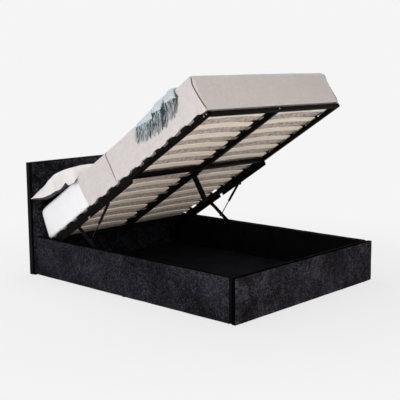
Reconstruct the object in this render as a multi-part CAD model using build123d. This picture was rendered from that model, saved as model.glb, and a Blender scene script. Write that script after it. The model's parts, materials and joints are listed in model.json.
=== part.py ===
from build123d import *
import math
import os

# Ottoman storage bed, king size, with its sprung platform raised.
# X is across the bed, +Y points to the headboard, +Z is up. Millimetres.
# The origin is on the floor, under the middle of the base and headboard.

os.makedirs("parts", exist_ok=True)

# Overall sizes
bed_width = 1600.0
base_length = 2075.0
base_height = 312.0
headboard_overhang = 23.0
headboard_width = bed_width + 2 * headboard_overhang
headboard_height = 900.0
pad_thickness = 29.0
headboard_board_thickness = 38.0
total_length = base_length + pad_thickness + headboard_board_thickness
foot_face_y = -total_length / 2
headboard_front_y = foot_face_y + base_length
headboard_back_y = foot_face_y + total_length

# Upholstered panels of the base
board_thickness = 18.0
rail_wadding = 25.0
foot_wadding = 36.0
edge_wrap = 5.0
soft_edge = 6.0
foot_overhang = 3.0
rail_thickness = board_thickness + rail_wadding
rail_inner_x = bed_width / 2 - rail_thickness
foot_inner_y = foot_face_y + board_thickness + foot_wadding

# Glides, floor of the storage space and what carries it
glide_height = 4.0
glide_radius = 15.0
glide_inset = 60.0
batten_size = 18.0
batten_height = 10.0
floor_thickness = 9.0
bearer_width = 60.0
floor_underside_z = batten_height + batten_size
floor_top_z = floor_underside_z + floor_thickness

# Corner brackets and every bolt
bracket_steel = 3.0
bracket_leg = 55.0
bracket_low_z = 60.0
bracket_high_z = 170.0
bracket_bolt_share = 0.6
bolt_radius = 4.0
bolt_head_radius = 6.5
bolt_head_height = 3.0
bolt_grip = 12.0
bolt_clearance = 0.1

# Lift mechanism: one set on the inner face of each side rail
plate_steel = 4.0
arm_steel = 5.0
side_gap = 0.5
pin_radius = 6.0
pin_clearance = 0.05
arm_width = 32.0
arm_length = 330.0
arm_raised_angle = 35.5
arm_pivot_from_headboard = 744.0
arm_pivot_height = 246.0
plate_inner_x = rail_inner_x - plate_steel
arm_outer_x = plate_inner_x - side_gap
arm_inner_x = arm_outer_x - arm_steel
mount_outer_x = arm_inner_x - side_gap
mount_inner_x = mount_outer_x - plate_steel
arm_pivot_y = headboard_front_y - arm_pivot_from_headboard

# Platform, measured along it from the head end and up from its datum plane
raised_tilt = 32.6
closed_height = 285.0
arm_joint_along = 390.0
arm_joint_drop = 60.0
platform_start = 30.0
platform_end = 1988.0
platform_split = 1116.0
tube_top = 2.0
tube_depth = 28.0
tube_width = 30.0
tube_wall = 2.0
cross_bar_width = 20.0
tube_bottom = tube_top - tube_depth
frame_half_width = mount_inner_x

# Gas struts
strut_radius = 10.0
strut_wall = 1.6
strut_gap = 1.0
rod_radius = 4.0
slide_clearance = 0.08
strut_eye_radius = 9.0
strut_eye_length = 14.0
strut_stud_radius = 4.0
strut_body_length = 196.0
strut_neck = 6.0
gland_length = 12.0
piston_length = 10.0
strut_joint_along = 778.0
strut_joint_drop = 54.0
strut_arm_reach = 182.0
open_pivot_gap = 0.3
strut_x = mount_inner_x - strut_gap - strut_radius

# Rail that hangs the platform on the arms, and the roller guide near the head
mount_rail_drop = 58.0
mount_ear_radius = 17.0
mount_corner = 16.0
guide_along = 80.0
guide_drop = 42.0
roller_radius = 8.0
roller_clearance = 0.8
guide_margin = 22.0
guide_steps = 8
notch_half_width = 16.0
notch_drop = 34.0
pivot_plate_foot = 90.0
pivot_plate_head = 66.0
pivot_plate_low = 46.0
pivot_plate_high = 38.0
plate_corner = 10.0
plate_bolt_share = 0.7
plate_bolt_high_share = 0.55
guide_bolt_share = 0.6
mount_bolt_count = 4
joint_bolt_shares = (-0.8, -0.3, 0.3, 0.8)

# Slats and their holders
head_slats = 7
head_first_slat = 132.0
head_last_slat_room = 96.0
head_slat_pitch = (platform_split - head_last_slat_room - head_first_slat) / (head_slats - 1)
foot_slats = 6
foot_first_slat_room = 56.0
foot_last_slat_room = 106.0
foot_first_slat = platform_split + foot_first_slat_room
foot_slat_pitch = (platform_end - foot_last_slat_room - foot_first_slat) / (foot_slats - 1)
slat_width = 53.0
slat_thickness = 8.0
slat_bow = 12.0
slat_play = 0.4
holder_wall = 3.0
holder_height = 20.0
holder_inner_reach = 7.0
holder_pocket = 28.0
centre_holder_half = 50.0
centre_pocket = 32.0

# Leg under the middle of the platform
leg_along = 1000.0
leg_size = 30.0
leg_plate_size = 62.0
leg_plate_steel = 3.0
leg_foot_height = 7.0
leg_foot_rim = 3.0
leg_floor_gap = 3.0

# Mattress and the bedding that goes up with it
mattress_start = 46.0
mattress_end = 1986.0
mattress_side_room = 11.0
mattress_half_width = rail_inner_x - mattress_side_room
mattress_base = tube_top + holder_wall + slat_thickness + slat_bow
mattress_thickness = 238.0
mattress_edge = 32.0
mattress_low_edge = 26.0
mattress_corner = 36.0
mattress_head_lean = 50.0
low_edge_turns = (60, 30, 0)
top_edge_turns = (0, 22, 45, 68, 90)
mattress_side_bulge = 5.0
mattress_crown = 6.0
crown_inset = 300.0
cloth_gap = 0.3
sheet_thickness = 1.7
cover_thickness = 5.0
cover_start = 606.0
cut_overrun = 60.0

# Throw across the mattress, gathered into three folds, with a fringe
throw_start = 1366.0
fold_widths = (190.0, 150.0, 146.0)
fold_heights = (9.0, 13.0, 10.0)
fold_drops = (34.0, 26.0, 30.0)
throw_thickness = 5.0
throw_bend = 30.0
fringe_length = 125.0
fringe_pitch = 26.0
fringe_width = 9.0
fringe_thickness = 4.0
fringe_gap = 0.2

# Pillows lying on the mattress at the head
pillow_length = 760.0
pillow_width = 500.0
pillow_thickness = 164.0
pillow_under_share = 0.3
pillow_tip = 14.0
pillow_start = 98.0
pillow_centre_x = 480.0
pillow_place_shares = (0.0, 0.14, 0.5, 0.86, 1.0)
pillow_width_shares = (1.0, 0.95, 0.9, 0.95, 1.0)
pillow_fill_shares = (0.0, 0.78, 1.0, 0.78, 0.0)


def block(x0, x1, y0, y1, z0, z1):
    """A box between two corners."""
    middle = Pos((x0 + x1) / 2, (y0 + y1) / 2, (z0 + z1) / 2)
    return middle * Box(abs(x1 - x0), abs(y1 - y0), abs(z1 - z0))


def rod_along(start, end, radius):
    """A round bar from one point to another."""
    start, end = Vector(*start), Vector(*end)
    way = end - start
    plane = Plane(origin=start, z_dir=way)
    return extrude(plane * Circle(radius), amount=way.length)


def bolt(seat, way, grip=bolt_grip):
    """A bolt whose head sits on the point seat, with its shank along way."""
    seat, way = Vector(*seat), Vector(*way)
    head = rod_along(seat, seat - way * bolt_head_height, bolt_head_radius)
    return head + rod_along(seat, seat + way * grip, bolt_radius)


def bolt_hole(seat, way, grip=bolt_grip):
    """The hole that takes such a bolt, cut a little deeper and wider."""
    seat, way = Vector(*seat), Vector(*way)
    start = seat - way * bolt_head_height
    return rod_along(start, seat + way * (grip + bolt_clearance), bolt_radius + bolt_clearance)


def other_side(shape):
    """The same piece for the left side."""
    return mirror(shape, about=Plane.YZ)


def save(shape, name):
    """Writes one sub-part."""
    shape.label = name
    export_step(shape, f"parts/{name}.step")


def group(shapes):
    """Several separate solids that share one node."""
    return Compound(children=[solid for shape in shapes for solid in shape.solids()])


# Where the platform is as it closes. share is 0 raised and 1 closed.
arm_closed_sine = (closed_height - arm_joint_drop - arm_pivot_height) / arm_length
arm_closed_angle = math.degrees(math.asin(arm_closed_sine))


def arm_angle(share):
    return arm_raised_angle + (arm_closed_angle - arm_raised_angle) * share


def arm_point(share, reach):
    """A point on the lift arm's line, reach from its base pivot: y and z."""
    turn = math.radians(arm_angle(share))
    return arm_pivot_y + reach * math.cos(turn), arm_pivot_height + reach * math.sin(turn)


def platform_point(share, along, up):
    """A point of the platform in the side view: y and z."""
    tilt = math.radians(raised_tilt * (1 - share))
    joint_y, joint_z = arm_point(share, arm_length)
    back, rise = along - arm_joint_along, up + arm_joint_drop
    y = joint_y - back * math.cos(tilt) + rise * math.sin(tilt)
    z = joint_z + back * math.sin(tilt) + rise * math.cos(tilt)
    return y, z


datum_y, datum_z = platform_point(0, 0, 0)


def raised(shape):
    """Moves a piece from the flat platform's own place to where it stands raised."""
    return Pos(0, datum_y, datum_z) * Rot(-raised_tilt, 0, 0) * shape


# Base


def headboard():
    half = headboard_width / 2
    board = block(
        -half, half, headboard_front_y + pad_thickness, headboard_back_y, glide_height, headboard_height
    )
    pad = block(
        -half, half, headboard_front_y, headboard_front_y + pad_thickness, glide_height, headboard_height
    )
    front = pad.faces().sort_by(Axis.Y)[0]
    return board, fillet(front.edges(), soft_edge)


def side_rail():
    """The right rail: its board, and the padded cloth that wraps three faces of it."""
    outer_x = bed_width / 2
    cover = block(
        rail_inner_x, outer_x, foot_inner_y, headboard_front_y, glide_height, base_height
    )
    outer_edges = cover.edges().filter_by(Axis.Y).group_by(Axis.X)[-1]
    cover = fillet(outer_edges, soft_edge)
    board = block(
        rail_inner_x,
        rail_inner_x + board_thickness,
        foot_inner_y,
        headboard_front_y,
        glide_height + edge_wrap,
        base_height - edge_wrap,
    )
    return board, cover - board


def foot_panel():
    half = bed_width / 2 + foot_overhang
    cover = block(-half, half, foot_face_y, foot_inner_y, glide_height, base_height)
    cover = fillet(cover.faces().sort_by(Axis.Y)[0].edges(), soft_edge)
    board = block(
        -half + edge_wrap,
        half - edge_wrap,
        foot_inner_y - board_thickness,
        foot_inner_y,
        glide_height + edge_wrap,
        base_height - edge_wrap,
    )
    return board, cover - board


def floor_batten():
    return block(
        rail_inner_x - batten_size,
        rail_inner_x,
        foot_inner_y,
        headboard_front_y,
        batten_height,
        floor_underside_z,
    )


def floor_bearer():
    half = bearer_width / 2
    return block(-half, half, foot_inner_y, headboard_front_y, glide_height, floor_underside_z)


def floor_board():
    """The right half of the storage floor, lying on a batten and the middle bearer."""
    return block(0, rail_inner_x, foot_inner_y, headboard_front_y, floor_underside_z, floor_top_z)


def glides():
    """Low plastic glides: at the corners, halfway along the rails and under the bearer."""
    rail_x = bed_width / 2 - rail_thickness / 2
    foot_y = (foot_face_y + foot_inner_y) / 2
    head_y = headboard_back_y - headboard_board_thickness / 2
    places = []
    for side in (-1, 1):
        places += [(side * (rail_x - glide_inset), foot_y), (side * rail_x, 0)]
        places.append((side * (rail_x - glide_inset), head_y))
        places.append((0, side * (foot_inner_y + glide_inset)))
    return group([rod_along((x, y, 0), (x, y, glide_height), glide_radius) for x, y in places])


def corner_bolt_places():
    """Seat and direction of the bolts in the two right-hand corner brackets."""
    middle = (bracket_low_z + bracket_high_z) / 2
    reach = bracket_leg * bracket_bolt_share
    rail_seat_x = rail_inner_x - bracket_steel
    places = []
    for wall_y, way in ((foot_inner_y, 1), (headboard_front_y, -1)):
        places.append(((rail_seat_x, wall_y + way * reach, middle), (1, 0, 0)))
        seat_y = wall_y + way * bracket_steel
        places.append(((rail_inner_x - reach, seat_y, middle), (0, -way, 0)))
    return places


def corner_brackets():
    pieces = []
    for wall_y, way in ((foot_inner_y, 1), (headboard_front_y, -1)):
        on_rail = block(
            rail_inner_x - bracket_steel,
            rail_inner_x,
            wall_y,
            wall_y + way * bracket_leg,
            bracket_low_z,
            bracket_high_z,
        )
        on_wall = block(
            rail_inner_x - bracket_leg,
            rail_inner_x,
            wall_y,
            wall_y + way * bracket_steel,
            bracket_low_z,
            bracket_high_z,
        )
        pieces.append(on_rail + on_wall)
    for seat, way in corner_bolt_places():
        pieces = [piece - bolt_hole(seat, way) for piece in pieces]
    return pieces


# Lift mechanism on the base


def side_plate(y0, y1, z0, z1):
    """A flat steel plate against the inner face of the right rail."""
    middle = Plane(
        origin=(plate_inner_x, (y0 + y1) / 2, (z0 + z1) / 2), x_dir=(0, 1, 0), z_dir=(1, 0, 0)
    )
    return extrude(middle * RectangleRounded(y1 - y0, z1 - z0, plate_corner), amount=plate_steel)


def pivot_bolt_places():
    """Seats of the bolts that hold the pivot plate, clear of the arm's sweep."""
    foot_y = arm_pivot_y - pivot_plate_foot * plate_bolt_share
    head_y = arm_pivot_y + pivot_plate_head * plate_bolt_share
    low_z = arm_pivot_height - pivot_plate_low * plate_bolt_share
    high_z = arm_pivot_height + pivot_plate_high * plate_bolt_high_share
    spots = ((foot_y, low_z), (foot_y, high_z), (head_y, low_z))
    return [((plate_inner_x, y, z), (1, 0, 0)) for y, z in spots]


def pivot_bracket():
    """Plate on the rail with the fixed pin that the lift arm turns on."""
    plate = side_plate(
        arm_pivot_y - pivot_plate_foot,
        arm_pivot_y + pivot_plate_head,
        arm_pivot_height - pivot_plate_low,
        arm_pivot_height + pivot_plate_high,
    )
    for seat, way in pivot_bolt_places():
        plate -= bolt_hole(seat, way)
    pin = rod_along(
        (arm_inner_x, arm_pivot_y, arm_pivot_height),
        (plate_inner_x, arm_pivot_y, arm_pivot_height),
        pin_radius,
    )
    return plate + pin


def guide_point(share):
    return platform_point(share, guide_along, -guide_drop)


def guide_slot():
    """The curved slot that the platform's roller follows, as a cutter through the plate."""
    half = roller_radius + roller_clearance
    small = 1 / (guide_steps * guide_steps)
    above, below, ends = [], [], []
    for step in range(guide_steps + 1):
        share = step / guide_steps
        y, z = guide_point(share)
        before, after = guide_point(share - small), guide_point(share + small)
        run, rise = after[0] - before[0], after[1] - before[1]
        size = math.hypot(run, rise)
        run, rise = run / size, rise / size
        above.append((plate_inner_x, y - rise * half, z + run * half))
        below.append((plate_inner_x, y + rise * half, z - run * half))
        way = 1 if step else -1
        if step in (0, guide_steps):
            ends.append((plate_inner_x, y + way * run * half, z + way * rise * half))
    outline = [
        Spline(*above),
        ThreePointArc(above[-1], ends[1], below[-1]),
        Spline(*reversed(below)),
        ThreePointArc(below[0], ends[0], above[0]),
    ]
    return extrude(Face(Wire(outline)), amount=plate_steel, dir=(1, 0, 0))


def guide_plate_box():
    """Lowest and highest y and z of the guide plate, round the roller's path."""
    path = [guide_point(step / guide_steps) for step in range(guide_steps + 1)]
    ys, zs = [p[0] for p in path], [p[1] for p in path]
    top = min(max(zs) + guide_margin, base_height - edge_wrap)
    return min(ys) - guide_margin, max(ys) + guide_margin, min(zs) - guide_margin, top


def guide_bolt_places():
    """Two seats, in the corners of the guide plate that the slot leaves free."""
    y0, y1, z0, z1 = guide_plate_box()
    inset = guide_margin * guide_bolt_share
    spots = ((y0 + inset, z0 + inset), (y1 - inset, z1 - inset))
    return [((plate_inner_x, y, z), (1, 0, 0)) for y, z in spots]


def guide_plate():
    plate = side_plate(*guide_plate_box()) - guide_slot()
    for seat, way in guide_bolt_places():
        plate -= bolt_hole(seat, way)
    return plate


def lift_arm():
    """Flat bar from the base pivot to the platform, with a bored eye at each end."""
    turn = math.radians(arm_raised_angle)
    plane = Plane(
        origin=(arm_inner_x, arm_pivot_y, arm_pivot_height),
        x_dir=(0, math.cos(turn), math.sin(turn)),
        z_dir=(1, 0, 0),
    )
    bar = Pos(arm_length / 2, 0) * SlotCenterToCenter(arm_length, arm_width)
    for reach in (0, arm_length):
        bar -= Pos(reach, 0) * Circle(pin_radius + pin_clearance)
    return extrude(plane * bar, amount=arm_steel)


# Gas struts, in their raised place
strut_top_y, strut_top_z = platform_point(0, strut_joint_along, -strut_joint_drop)
strut_low_y, strut_low_z = arm_point(0, strut_arm_reach)
strut_length = math.hypot(strut_low_y - strut_top_y, strut_low_z - strut_top_z)
strut_run = (strut_low_y - strut_top_y) / strut_length
strut_rise = (strut_low_z - strut_top_z) / strut_length


def strut_point(reach):
    """A point on the strut's axis, reach from its pivot on the platform."""
    return strut_x, strut_top_y + strut_run * reach, strut_top_z + strut_rise * reach


def strut_eye(reach, inner, outer, hole):
    """A round eye across the strut's axis, between two x values."""
    x, y, z = strut_point(reach)
    eye = rod_along((inner, y, z), (outer, y, z), strut_eye_radius)
    if hole:
        eye -= rod_along((inner, y, z), (outer, y, z), hole)
    return eye


strut_eye_inner_x = strut_x - strut_eye_length / 2
strut_eye_outer_x = strut_x + strut_eye_length / 2


def strut_cylinder():
    """Steel cylinder, bored for the piston, with the eye that hangs it on the platform."""
    bore_radius = strut_radius - strut_wall
    body = rod_along(strut_point(strut_neck), strut_point(strut_body_length), strut_radius)
    bore_start = 2 * strut_eye_radius + strut_wall
    body -= rod_along(
        strut_point(bore_start), strut_point(strut_body_length - gland_length), bore_radius
    )
    body -= rod_along(
        strut_point(bore_start), strut_point(strut_length), rod_radius + slide_clearance
    )
    hole = strut_stud_radius + pin_clearance
    eye = strut_eye(0, strut_eye_inner_x, strut_eye_outer_x, 0)
    x, y, z = strut_point(0)
    stud_way = rod_along((strut_eye_inner_x, y, z), (strut_eye_outer_x, y, z), hole)
    return body + eye - stud_way


def strut_rod():
    """Piston rod with its eye and the stud that reaches to the lift arm."""
    piston_radius = strut_radius - strut_wall - slide_clearance
    piston_end = strut_body_length - gland_length - strut_wall
    shaft = rod_along(strut_point(piston_end), strut_point(strut_length), rod_radius)
    piston = rod_along(
        strut_point(piston_end - piston_length), strut_point(piston_end), piston_radius
    )
    eye = strut_eye(strut_length, strut_eye_inner_x, strut_eye_outer_x, 0)
    x, y, z = strut_point(strut_length)
    stud_end = arm_inner_x - open_pivot_gap
    stud = rod_along((strut_eye_outer_x, y, z), (stud_end, y, z), strut_stud_radius)
    return shaft + piston + eye + stud


# Platform frame, built flat: y is minus the distance from the head end


def tube(x0, x1, along0, along1, axis):
    """A rectangular steel tube, open at both ends along axis."""
    outer = block(x0, x1, -along1, -along0, tube_bottom, tube_top)
    wall_x = 0 if axis == "x" else tube_wall
    wall_y = 0 if axis == "y" else tube_wall
    inner = block(
        x0 + wall_x,
        x1 - wall_x,
        -along1 + wall_y,
        -along0 - wall_y,
        tube_bottom + tube_wall,
        tube_top - tube_wall,
    )
    return outer - inner


def mount_bolt_places():
    """Seats of the bolts through each side tube into the mount rail."""
    span = platform_split - platform_start
    height = (tube_top + tube_bottom) / 2
    seat_x = frame_half_width - tube_width
    alongs = [platform_start + span * (i + 0.5) / mount_bolt_count for i in range(mount_bolt_count)]
    return [((seat_x, -along, height), (1, 0, 0)) for along in alongs]


mount_bolt_grip = tube_width + plate_steel


def side_tube(along0, along1):
    piece = tube(frame_half_width - tube_width, frame_half_width, along0, along1, "y")
    for seat, way in mount_bolt_places():
        if along0 < -seat[1] < along1:
            piece -= bolt_hole(seat, way, mount_bolt_grip)
    return piece


def joint_bolt_places():
    """Bolts that join the two halves of the frame through their cross bars."""
    reach = frame_half_width - tube_width
    seat_y = -(platform_split + cross_bar_width)
    height = (tube_top + tube_bottom) / 2
    return [((reach * share, seat_y, height), (0, 1, 0)) for share in joint_bolt_shares]


joint_bolt_grip = 2 * cross_bar_width


def cross_tube(along0, along1):
    reach = frame_half_width - tube_width
    piece = tube(-reach, reach, along0, along1, "x")
    if platform_split in (along0, along1):
        for seat, way in joint_bolt_places():
            piece -= bolt_hole(seat, way, joint_bolt_grip)
    return piece


def mount_rail():
    """Deep steel rail on the outside of the head half, with its pins and guide roller."""
    plane = Plane(origin=(mount_inner_x, 0, 0), x_dir=(0, 1, 0), z_dir=(1, 0, 0))
    length = platform_split - platform_start
    depth = tube_top + mount_rail_drop
    middle = Pos(-(platform_start + platform_split) / 2, (tube_top - mount_rail_drop) / 2)
    web = middle * RectangleRounded(length, depth, mount_corner)
    for along, drop in ((arm_joint_along, arm_joint_drop), (strut_joint_along, strut_joint_drop)):
        web += Pos(-along, -drop) * Circle(mount_ear_radius)
    stud_y, stud_z = arm_point(1, strut_arm_reach)
    stud_along = platform_point(1, 0, 0)[0] - stud_y
    notch_depth = mount_rail_drop - notch_drop
    notch_middle = -notch_drop - notch_depth / 2 - mount_ear_radius / 2
    web -= Pos(-stud_along, notch_middle) * Rectangle(
        2 * notch_half_width, notch_depth + mount_ear_radius
    )
    rail = extrude(plane * web, amount=plate_steel)
    for seat, way in mount_bolt_places():
        rail -= bolt_hole(seat, way, mount_bolt_grip)
    rail += rod_along(
        (mount_outer_x, -arm_joint_along, -arm_joint_drop),
        (arm_outer_x, -arm_joint_along, -arm_joint_drop),
        pin_radius,
    )
    rail += rod_along(
        (mount_outer_x, -guide_along, -guide_drop),
        (rail_inner_x - side_gap, -guide_along, -guide_drop),
        roller_radius,
    )
    return rail + rod_along(
        (mount_inner_x, -strut_joint_along, -strut_joint_drop),
        (strut_eye_inner_x, -strut_joint_along, -strut_joint_drop),
        strut_stud_radius,
    )


def leg():
    """Square leg whose foot comes down just over the storage floor when the platform is shut."""
    half, plate_half = leg_size / 2, leg_plate_size / 2
    foot_top = floor_top_z + leg_floor_gap + leg_foot_height - closed_height
    plate_low = tube_bottom - leg_plate_steel
    plate = block(
        -plate_half,
        plate_half,
        -leg_along - plate_half,
        -leg_along + plate_half,
        plate_low,
        tube_bottom,
    )
    post = block(-half, half, -leg_along - half, -leg_along + half, foot_top, plate_low)
    rim = half + leg_foot_rim
    foot = block(
        -rim, rim, -leg_along - rim, -leg_along + rim, foot_top - leg_foot_height, foot_top
    )
    return plate + post, foot


# Slats


def slat_alongs():
    """Middle of every slat row: first those of the head half, then those of the foot half."""
    head = [head_first_slat + head_slat_pitch * i for i in range(head_slats)]
    foot = [foot_first_slat + foot_slat_pitch * i for i in range(foot_slats)]
    return head, foot


side_pocket_x = frame_half_width - tube_width - holder_inner_reach
slat_end_x = side_pocket_x + holder_pocket - slat_play
slat_start_x = centre_holder_half - centre_pocket + slat_play
slat_low_z = tube_top + holder_wall


def slat(along):
    """A sprung slat, bowed upward between the side and the middle of the platform."""
    middle_x = (slat_start_x + slat_end_x) / 2
    top_z = slat_low_z + slat_thickness
    y = -along - slat_width / 2

    def arc(z):
        return ThreePointArc((slat_start_x, y, z), (middle_x, y, z + slat_bow), (slat_end_x, y, z))

    ends = [
        Line((slat_start_x, y, slat_low_z), (slat_start_x, y, top_z)),
        Line((slat_end_x, y, slat_low_z), (slat_end_x, y, top_z)),
    ]
    outline = Wire([arc(slat_low_z), ends[1], arc(top_z), ends[0]])
    return extrude(Face(outline), amount=slat_width, dir=(0, 1, 0))


def holder_pocket_box(x0, x1, along):
    half = slat_width / 2 + slat_play
    high = tube_top + holder_height - holder_wall / 2
    return block(x0, x1, -along - half, -along + half, slat_low_z, high)


def side_holder(along):
    """Plastic cap on the side tube that takes one slat's end."""
    half = slat_width / 2 + holder_wall
    cap = block(
        side_pocket_x,
        frame_half_width - side_gap,
        -along - half,
        -along + half,
        tube_top,
        tube_top + holder_height,
    )
    return cap - holder_pocket_box(side_pocket_x, side_pocket_x + holder_pocket, along)


def centre_holder(along):
    """Plastic cap on the centre tube that takes the inner ends of two slats."""
    half = slat_width / 2 + holder_wall
    reach = centre_holder_half
    cap = block(-reach, reach, -along - half, -along + half, tube_top, tube_top + holder_height)
    for side in (-1, 1):
        cap -= holder_pocket_box(side * (reach - centre_pocket), side * reach, along)
    return cap


# Mattress, sheet and cover: one form, made larger by each layer of cloth


def soft_outline(start, end, half, corner, bulge, z):
    """A rounded rectangle whose sides swell a little between its corners."""
    corner_share = 1 - math.sqrt(0.5)
    y0, y1 = -end, -start
    middle_y, near = (y0 + y1) / 2, corner * corner_share
    sides = [
        ((-half + corner, y0, z), (0, y0 - bulge, z), (half - corner, y0, z)),
        ((half - corner, y0, z), (half - near, y0 + near, z), (half, y0 + corner, z)),
        ((half, y0 + corner, z), (half + bulge, middle_y, z), (half, y1 - corner, z)),
        ((half, y1 - corner, z), (half - near, y1 - near, z), (half - corner, y1, z)),
        ((half - corner, y1, z), (0, y1 + bulge, z), (-half + corner, y1, z)),
        ((-half + corner, y1, z), (-half + near, y1 - near, z), (-half, y1 - corner, z)),
        ((-half, y1 - corner, z), (-half - bulge, middle_y, z), (-half, y0 + corner, z)),
        ((-half, y0 + corner, z), (-half + near, y0 + near, z), (-half + corner, y0, z)),
    ]
    return Face(Wire([ThreePointArc(*points) for points in sides]))


def mattress_form(grow):
    """The mattress with its rounded edges and crowned top, made larger by grow.

    Its head end leans: it has slid down, so its lower edge is nearer the headboard.
    """
    low, top = mattress_base, mattress_base + mattress_thickness + grow
    upright_low, upright_top = low + mattress_low_edge, top - mattress_edge
    levels = [(mattress_low_edge, low)]
    for turn in low_edge_turns:
        inset = mattress_low_edge * (1 - math.cos(math.radians(turn)))
        levels.append((inset, low + mattress_low_edge * (1 - math.sin(math.radians(turn)))))
    for turn in top_edge_turns:
        inset = mattress_edge * (1 - math.cos(math.radians(turn)))
        levels.append((inset, top - mattress_edge * (1 - math.sin(math.radians(turn)))))
    levels.append((crown_inset, top + mattress_crown))
    sections = []
    for inset, z in levels:
        lean_share = (upright_top - z) / (upright_top - upright_low)
        lean = mattress_head_lean * min(max(lean_share, 0), 1)
        sections.append(
            soft_outline(
                mattress_start - grow + inset - lean,
                mattress_end + grow - inset,
                mattress_half_width + grow - inset,
                mattress_corner + grow,
                mattress_side_bulge,
                z,
            )
        )
    return loft(sections, ruled=True)


def mattress_layers():
    """Mattress, fitted sheet over all of it, and the cover from the chest to the foot."""
    sheet_inner = cloth_gap
    sheet_outer = sheet_inner + sheet_thickness
    cover_inner = sheet_outer + cloth_gap
    cover_outer = cover_inner + cover_thickness
    mattress = mattress_form(0)
    sheet = mattress_form(sheet_outer) - mattress_form(sheet_inner)
    cover = mattress_form(cover_outer) - mattress_form(cover_inner)
    reach = mattress_half_width + cut_overrun
    top = mattress_base + mattress_thickness + cut_overrun
    head_part = block(-reach, reach, -cover_start, cut_overrun, -cut_overrun, top)
    return mattress, sheet, cover - head_part


bedding_side_x = (
    mattress_half_width
    + mattress_side_bulge
    + sheet_thickness
    + cover_thickness
    + cloth_gap * 3
)
bedding_top = (
    mattress_base
    + mattress_thickness
    + mattress_crown
    + sheet_thickness
    + cover_thickness
    + cloth_gap * 3
)


def fold_starts():
    """Where each fold of the throw begins, along the platform."""
    starts, along = [], throw_start
    for width in fold_widths:
        starts.append(along)
        along += width
    return starts


def throw():
    """A throw across the mattress, whose folds run over its top and down both sides."""
    cloth = []
    for start, width, height, drop in zip(fold_starts(), fold_widths, fold_heights, fold_drops):
        hem_z = bedding_top - throw_bend - drop
        corner_left = (-bedding_side_x, 0, bedding_top)
        corner_right = (bedding_side_x, 0, bedding_top)
        path = FilletPolyline(
            (-bedding_side_x, 0, hem_z),
            corner_left,
            corner_right,
            (bedding_side_x, 0, hem_z),
            radius=throw_bend,
        )
        x, y0, y1 = -bedding_side_x, -start, -start - width
        rim = x - throw_thickness
        outline = Wire(
            [
                Line((x, y0, hem_z), (rim, y0, hem_z)),
                ThreePointArc(
                    (rim, y0, hem_z), (rim - height, (y0 + y1) / 2, hem_z), (rim, y1, hem_z)
                ),
                Line((rim, y1, hem_z), (x, y1, hem_z)),
                Line((x, y1, hem_z), (x, y0, hem_z)),
            ]
        )
        cloth.append(sweep(Face(outline), path=path))
    return cloth[0] + cloth[1] + cloth[2]


def fringe():
    """Strands of the right-hand hem, which hang plumb while the platform is raised."""
    tilt = math.radians(raised_tilt)
    strands = []
    for start, width, height, drop in zip(fold_starts(), fold_widths, fold_heights, fold_drops):
        hem_z = bedding_top - throw_bend - drop - fringe_gap
        count = int(width // fringe_pitch)
        for i in range(count):
            along = start + width * (i + 0.5) / count
            across = (along - start) / width * 2 - 1
            x = bedding_side_x + (throw_thickness + height * (1 - across * across)) / 2
            top = Pos(x, -along, hem_z) * Rectangle(fringe_thickness, fringe_width)
            run, fall = fringe_length * math.sin(tilt), fringe_length * math.cos(tilt)
            tip = Pos(x, -along + run, hem_z - fall) * Rectangle(fringe_thickness, fringe_width / 2)
            strands.append(loft([top.face(), tip.face()], ruled=True))
    return strands


def pillow():
    """A full pillow whose long sides draw in between its corners."""
    rest_z = bedding_top - cover_thickness - cloth_gap + pillow_thickness * pillow_under_share
    middle_y = -(pillow_start + pillow_width / 2)
    first_x = pillow_centre_x - pillow_length / 2
    sections = []
    for place, wide, fill in zip(pillow_place_shares, pillow_width_shares, pillow_fill_shares):
        x = first_x + pillow_length * place
        half = pillow_width * wide / 2
        depth = pillow_tip + (pillow_thickness - pillow_tip) * fill
        high, low = depth * (1 - pillow_under_share), depth * pillow_under_share
        ends = ((x, middle_y - half, rest_z), (x, middle_y + half, rest_z))
        over = ThreePointArc(ends[0], (x, middle_y, rest_z + high), ends[1])
        under = ThreePointArc(ends[1], (x, middle_y, rest_z - low), ends[0])
        sections.append(Face(Wire([over, under])))
    return loft(sections)


def build_base():
    board, pad = headboard()
    save(board, "headboard_board")
    rail_board, rail_cover = side_rail()
    holes = corner_bolt_places() + pivot_bolt_places() + guide_bolt_places()
    for seat, way in holes:
        if way[0]:
            rail_board -= bolt_hole(seat, way)
    save(rail_board, "right_rail_board")
    save(other_side(rail_board), "left_rail_board")
    save(rail_cover, "right_rail_cover")
    save(other_side(rail_cover), "left_rail_cover")
    foot_board, foot_cover = foot_panel()
    brackets = corner_brackets()
    bolts = [bolt(seat, way) for seat, way in corner_bolt_places()]
    for seat, way in corner_bolt_places():
        for hole in (bolt_hole(seat, way), other_side(bolt_hole(seat, way))):
            if way[1] < 0:
                foot_board -= hole
            elif way[1] > 0:
                pad -= hole
    save(pad, "headboard_pad")
    save(foot_board, "foot_board")
    save(foot_cover, "foot_cover")
    save(group(brackets + [other_side(piece) for piece in brackets]), "corner_brackets")
    save(group(bolts + [other_side(piece) for piece in bolts]), "corner_bolts")
    save(floor_batten(), "right_floor_batten")
    save(other_side(floor_batten()), "left_floor_batten")
    save(floor_bearer(), "floor_bearer")
    save(floor_board(), "right_floor_board")
    save(other_side(floor_board()), "left_floor_board")
    save(glides(), "glides")


def build_mechanism():
    plate_bolts = [bolt(seat, way) for seat, way in pivot_bolt_places() + guide_bolt_places()]
    save(group(plate_bolts + [other_side(piece) for piece in plate_bolts]), "plate_bolts")
    pieces = {
        "pivot_bracket": pivot_bracket(),
        "guide_plate": guide_plate(),
        "lift_arm": lift_arm(),
        "strut_cylinder": strut_cylinder(),
        "strut_rod": strut_rod(),
        "mount_rail": raised(mount_rail()),
    }
    for name, shape in pieces.items():
        save(shape, f"right_{name}")
        save(other_side(shape), f"left_{name}")


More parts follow.
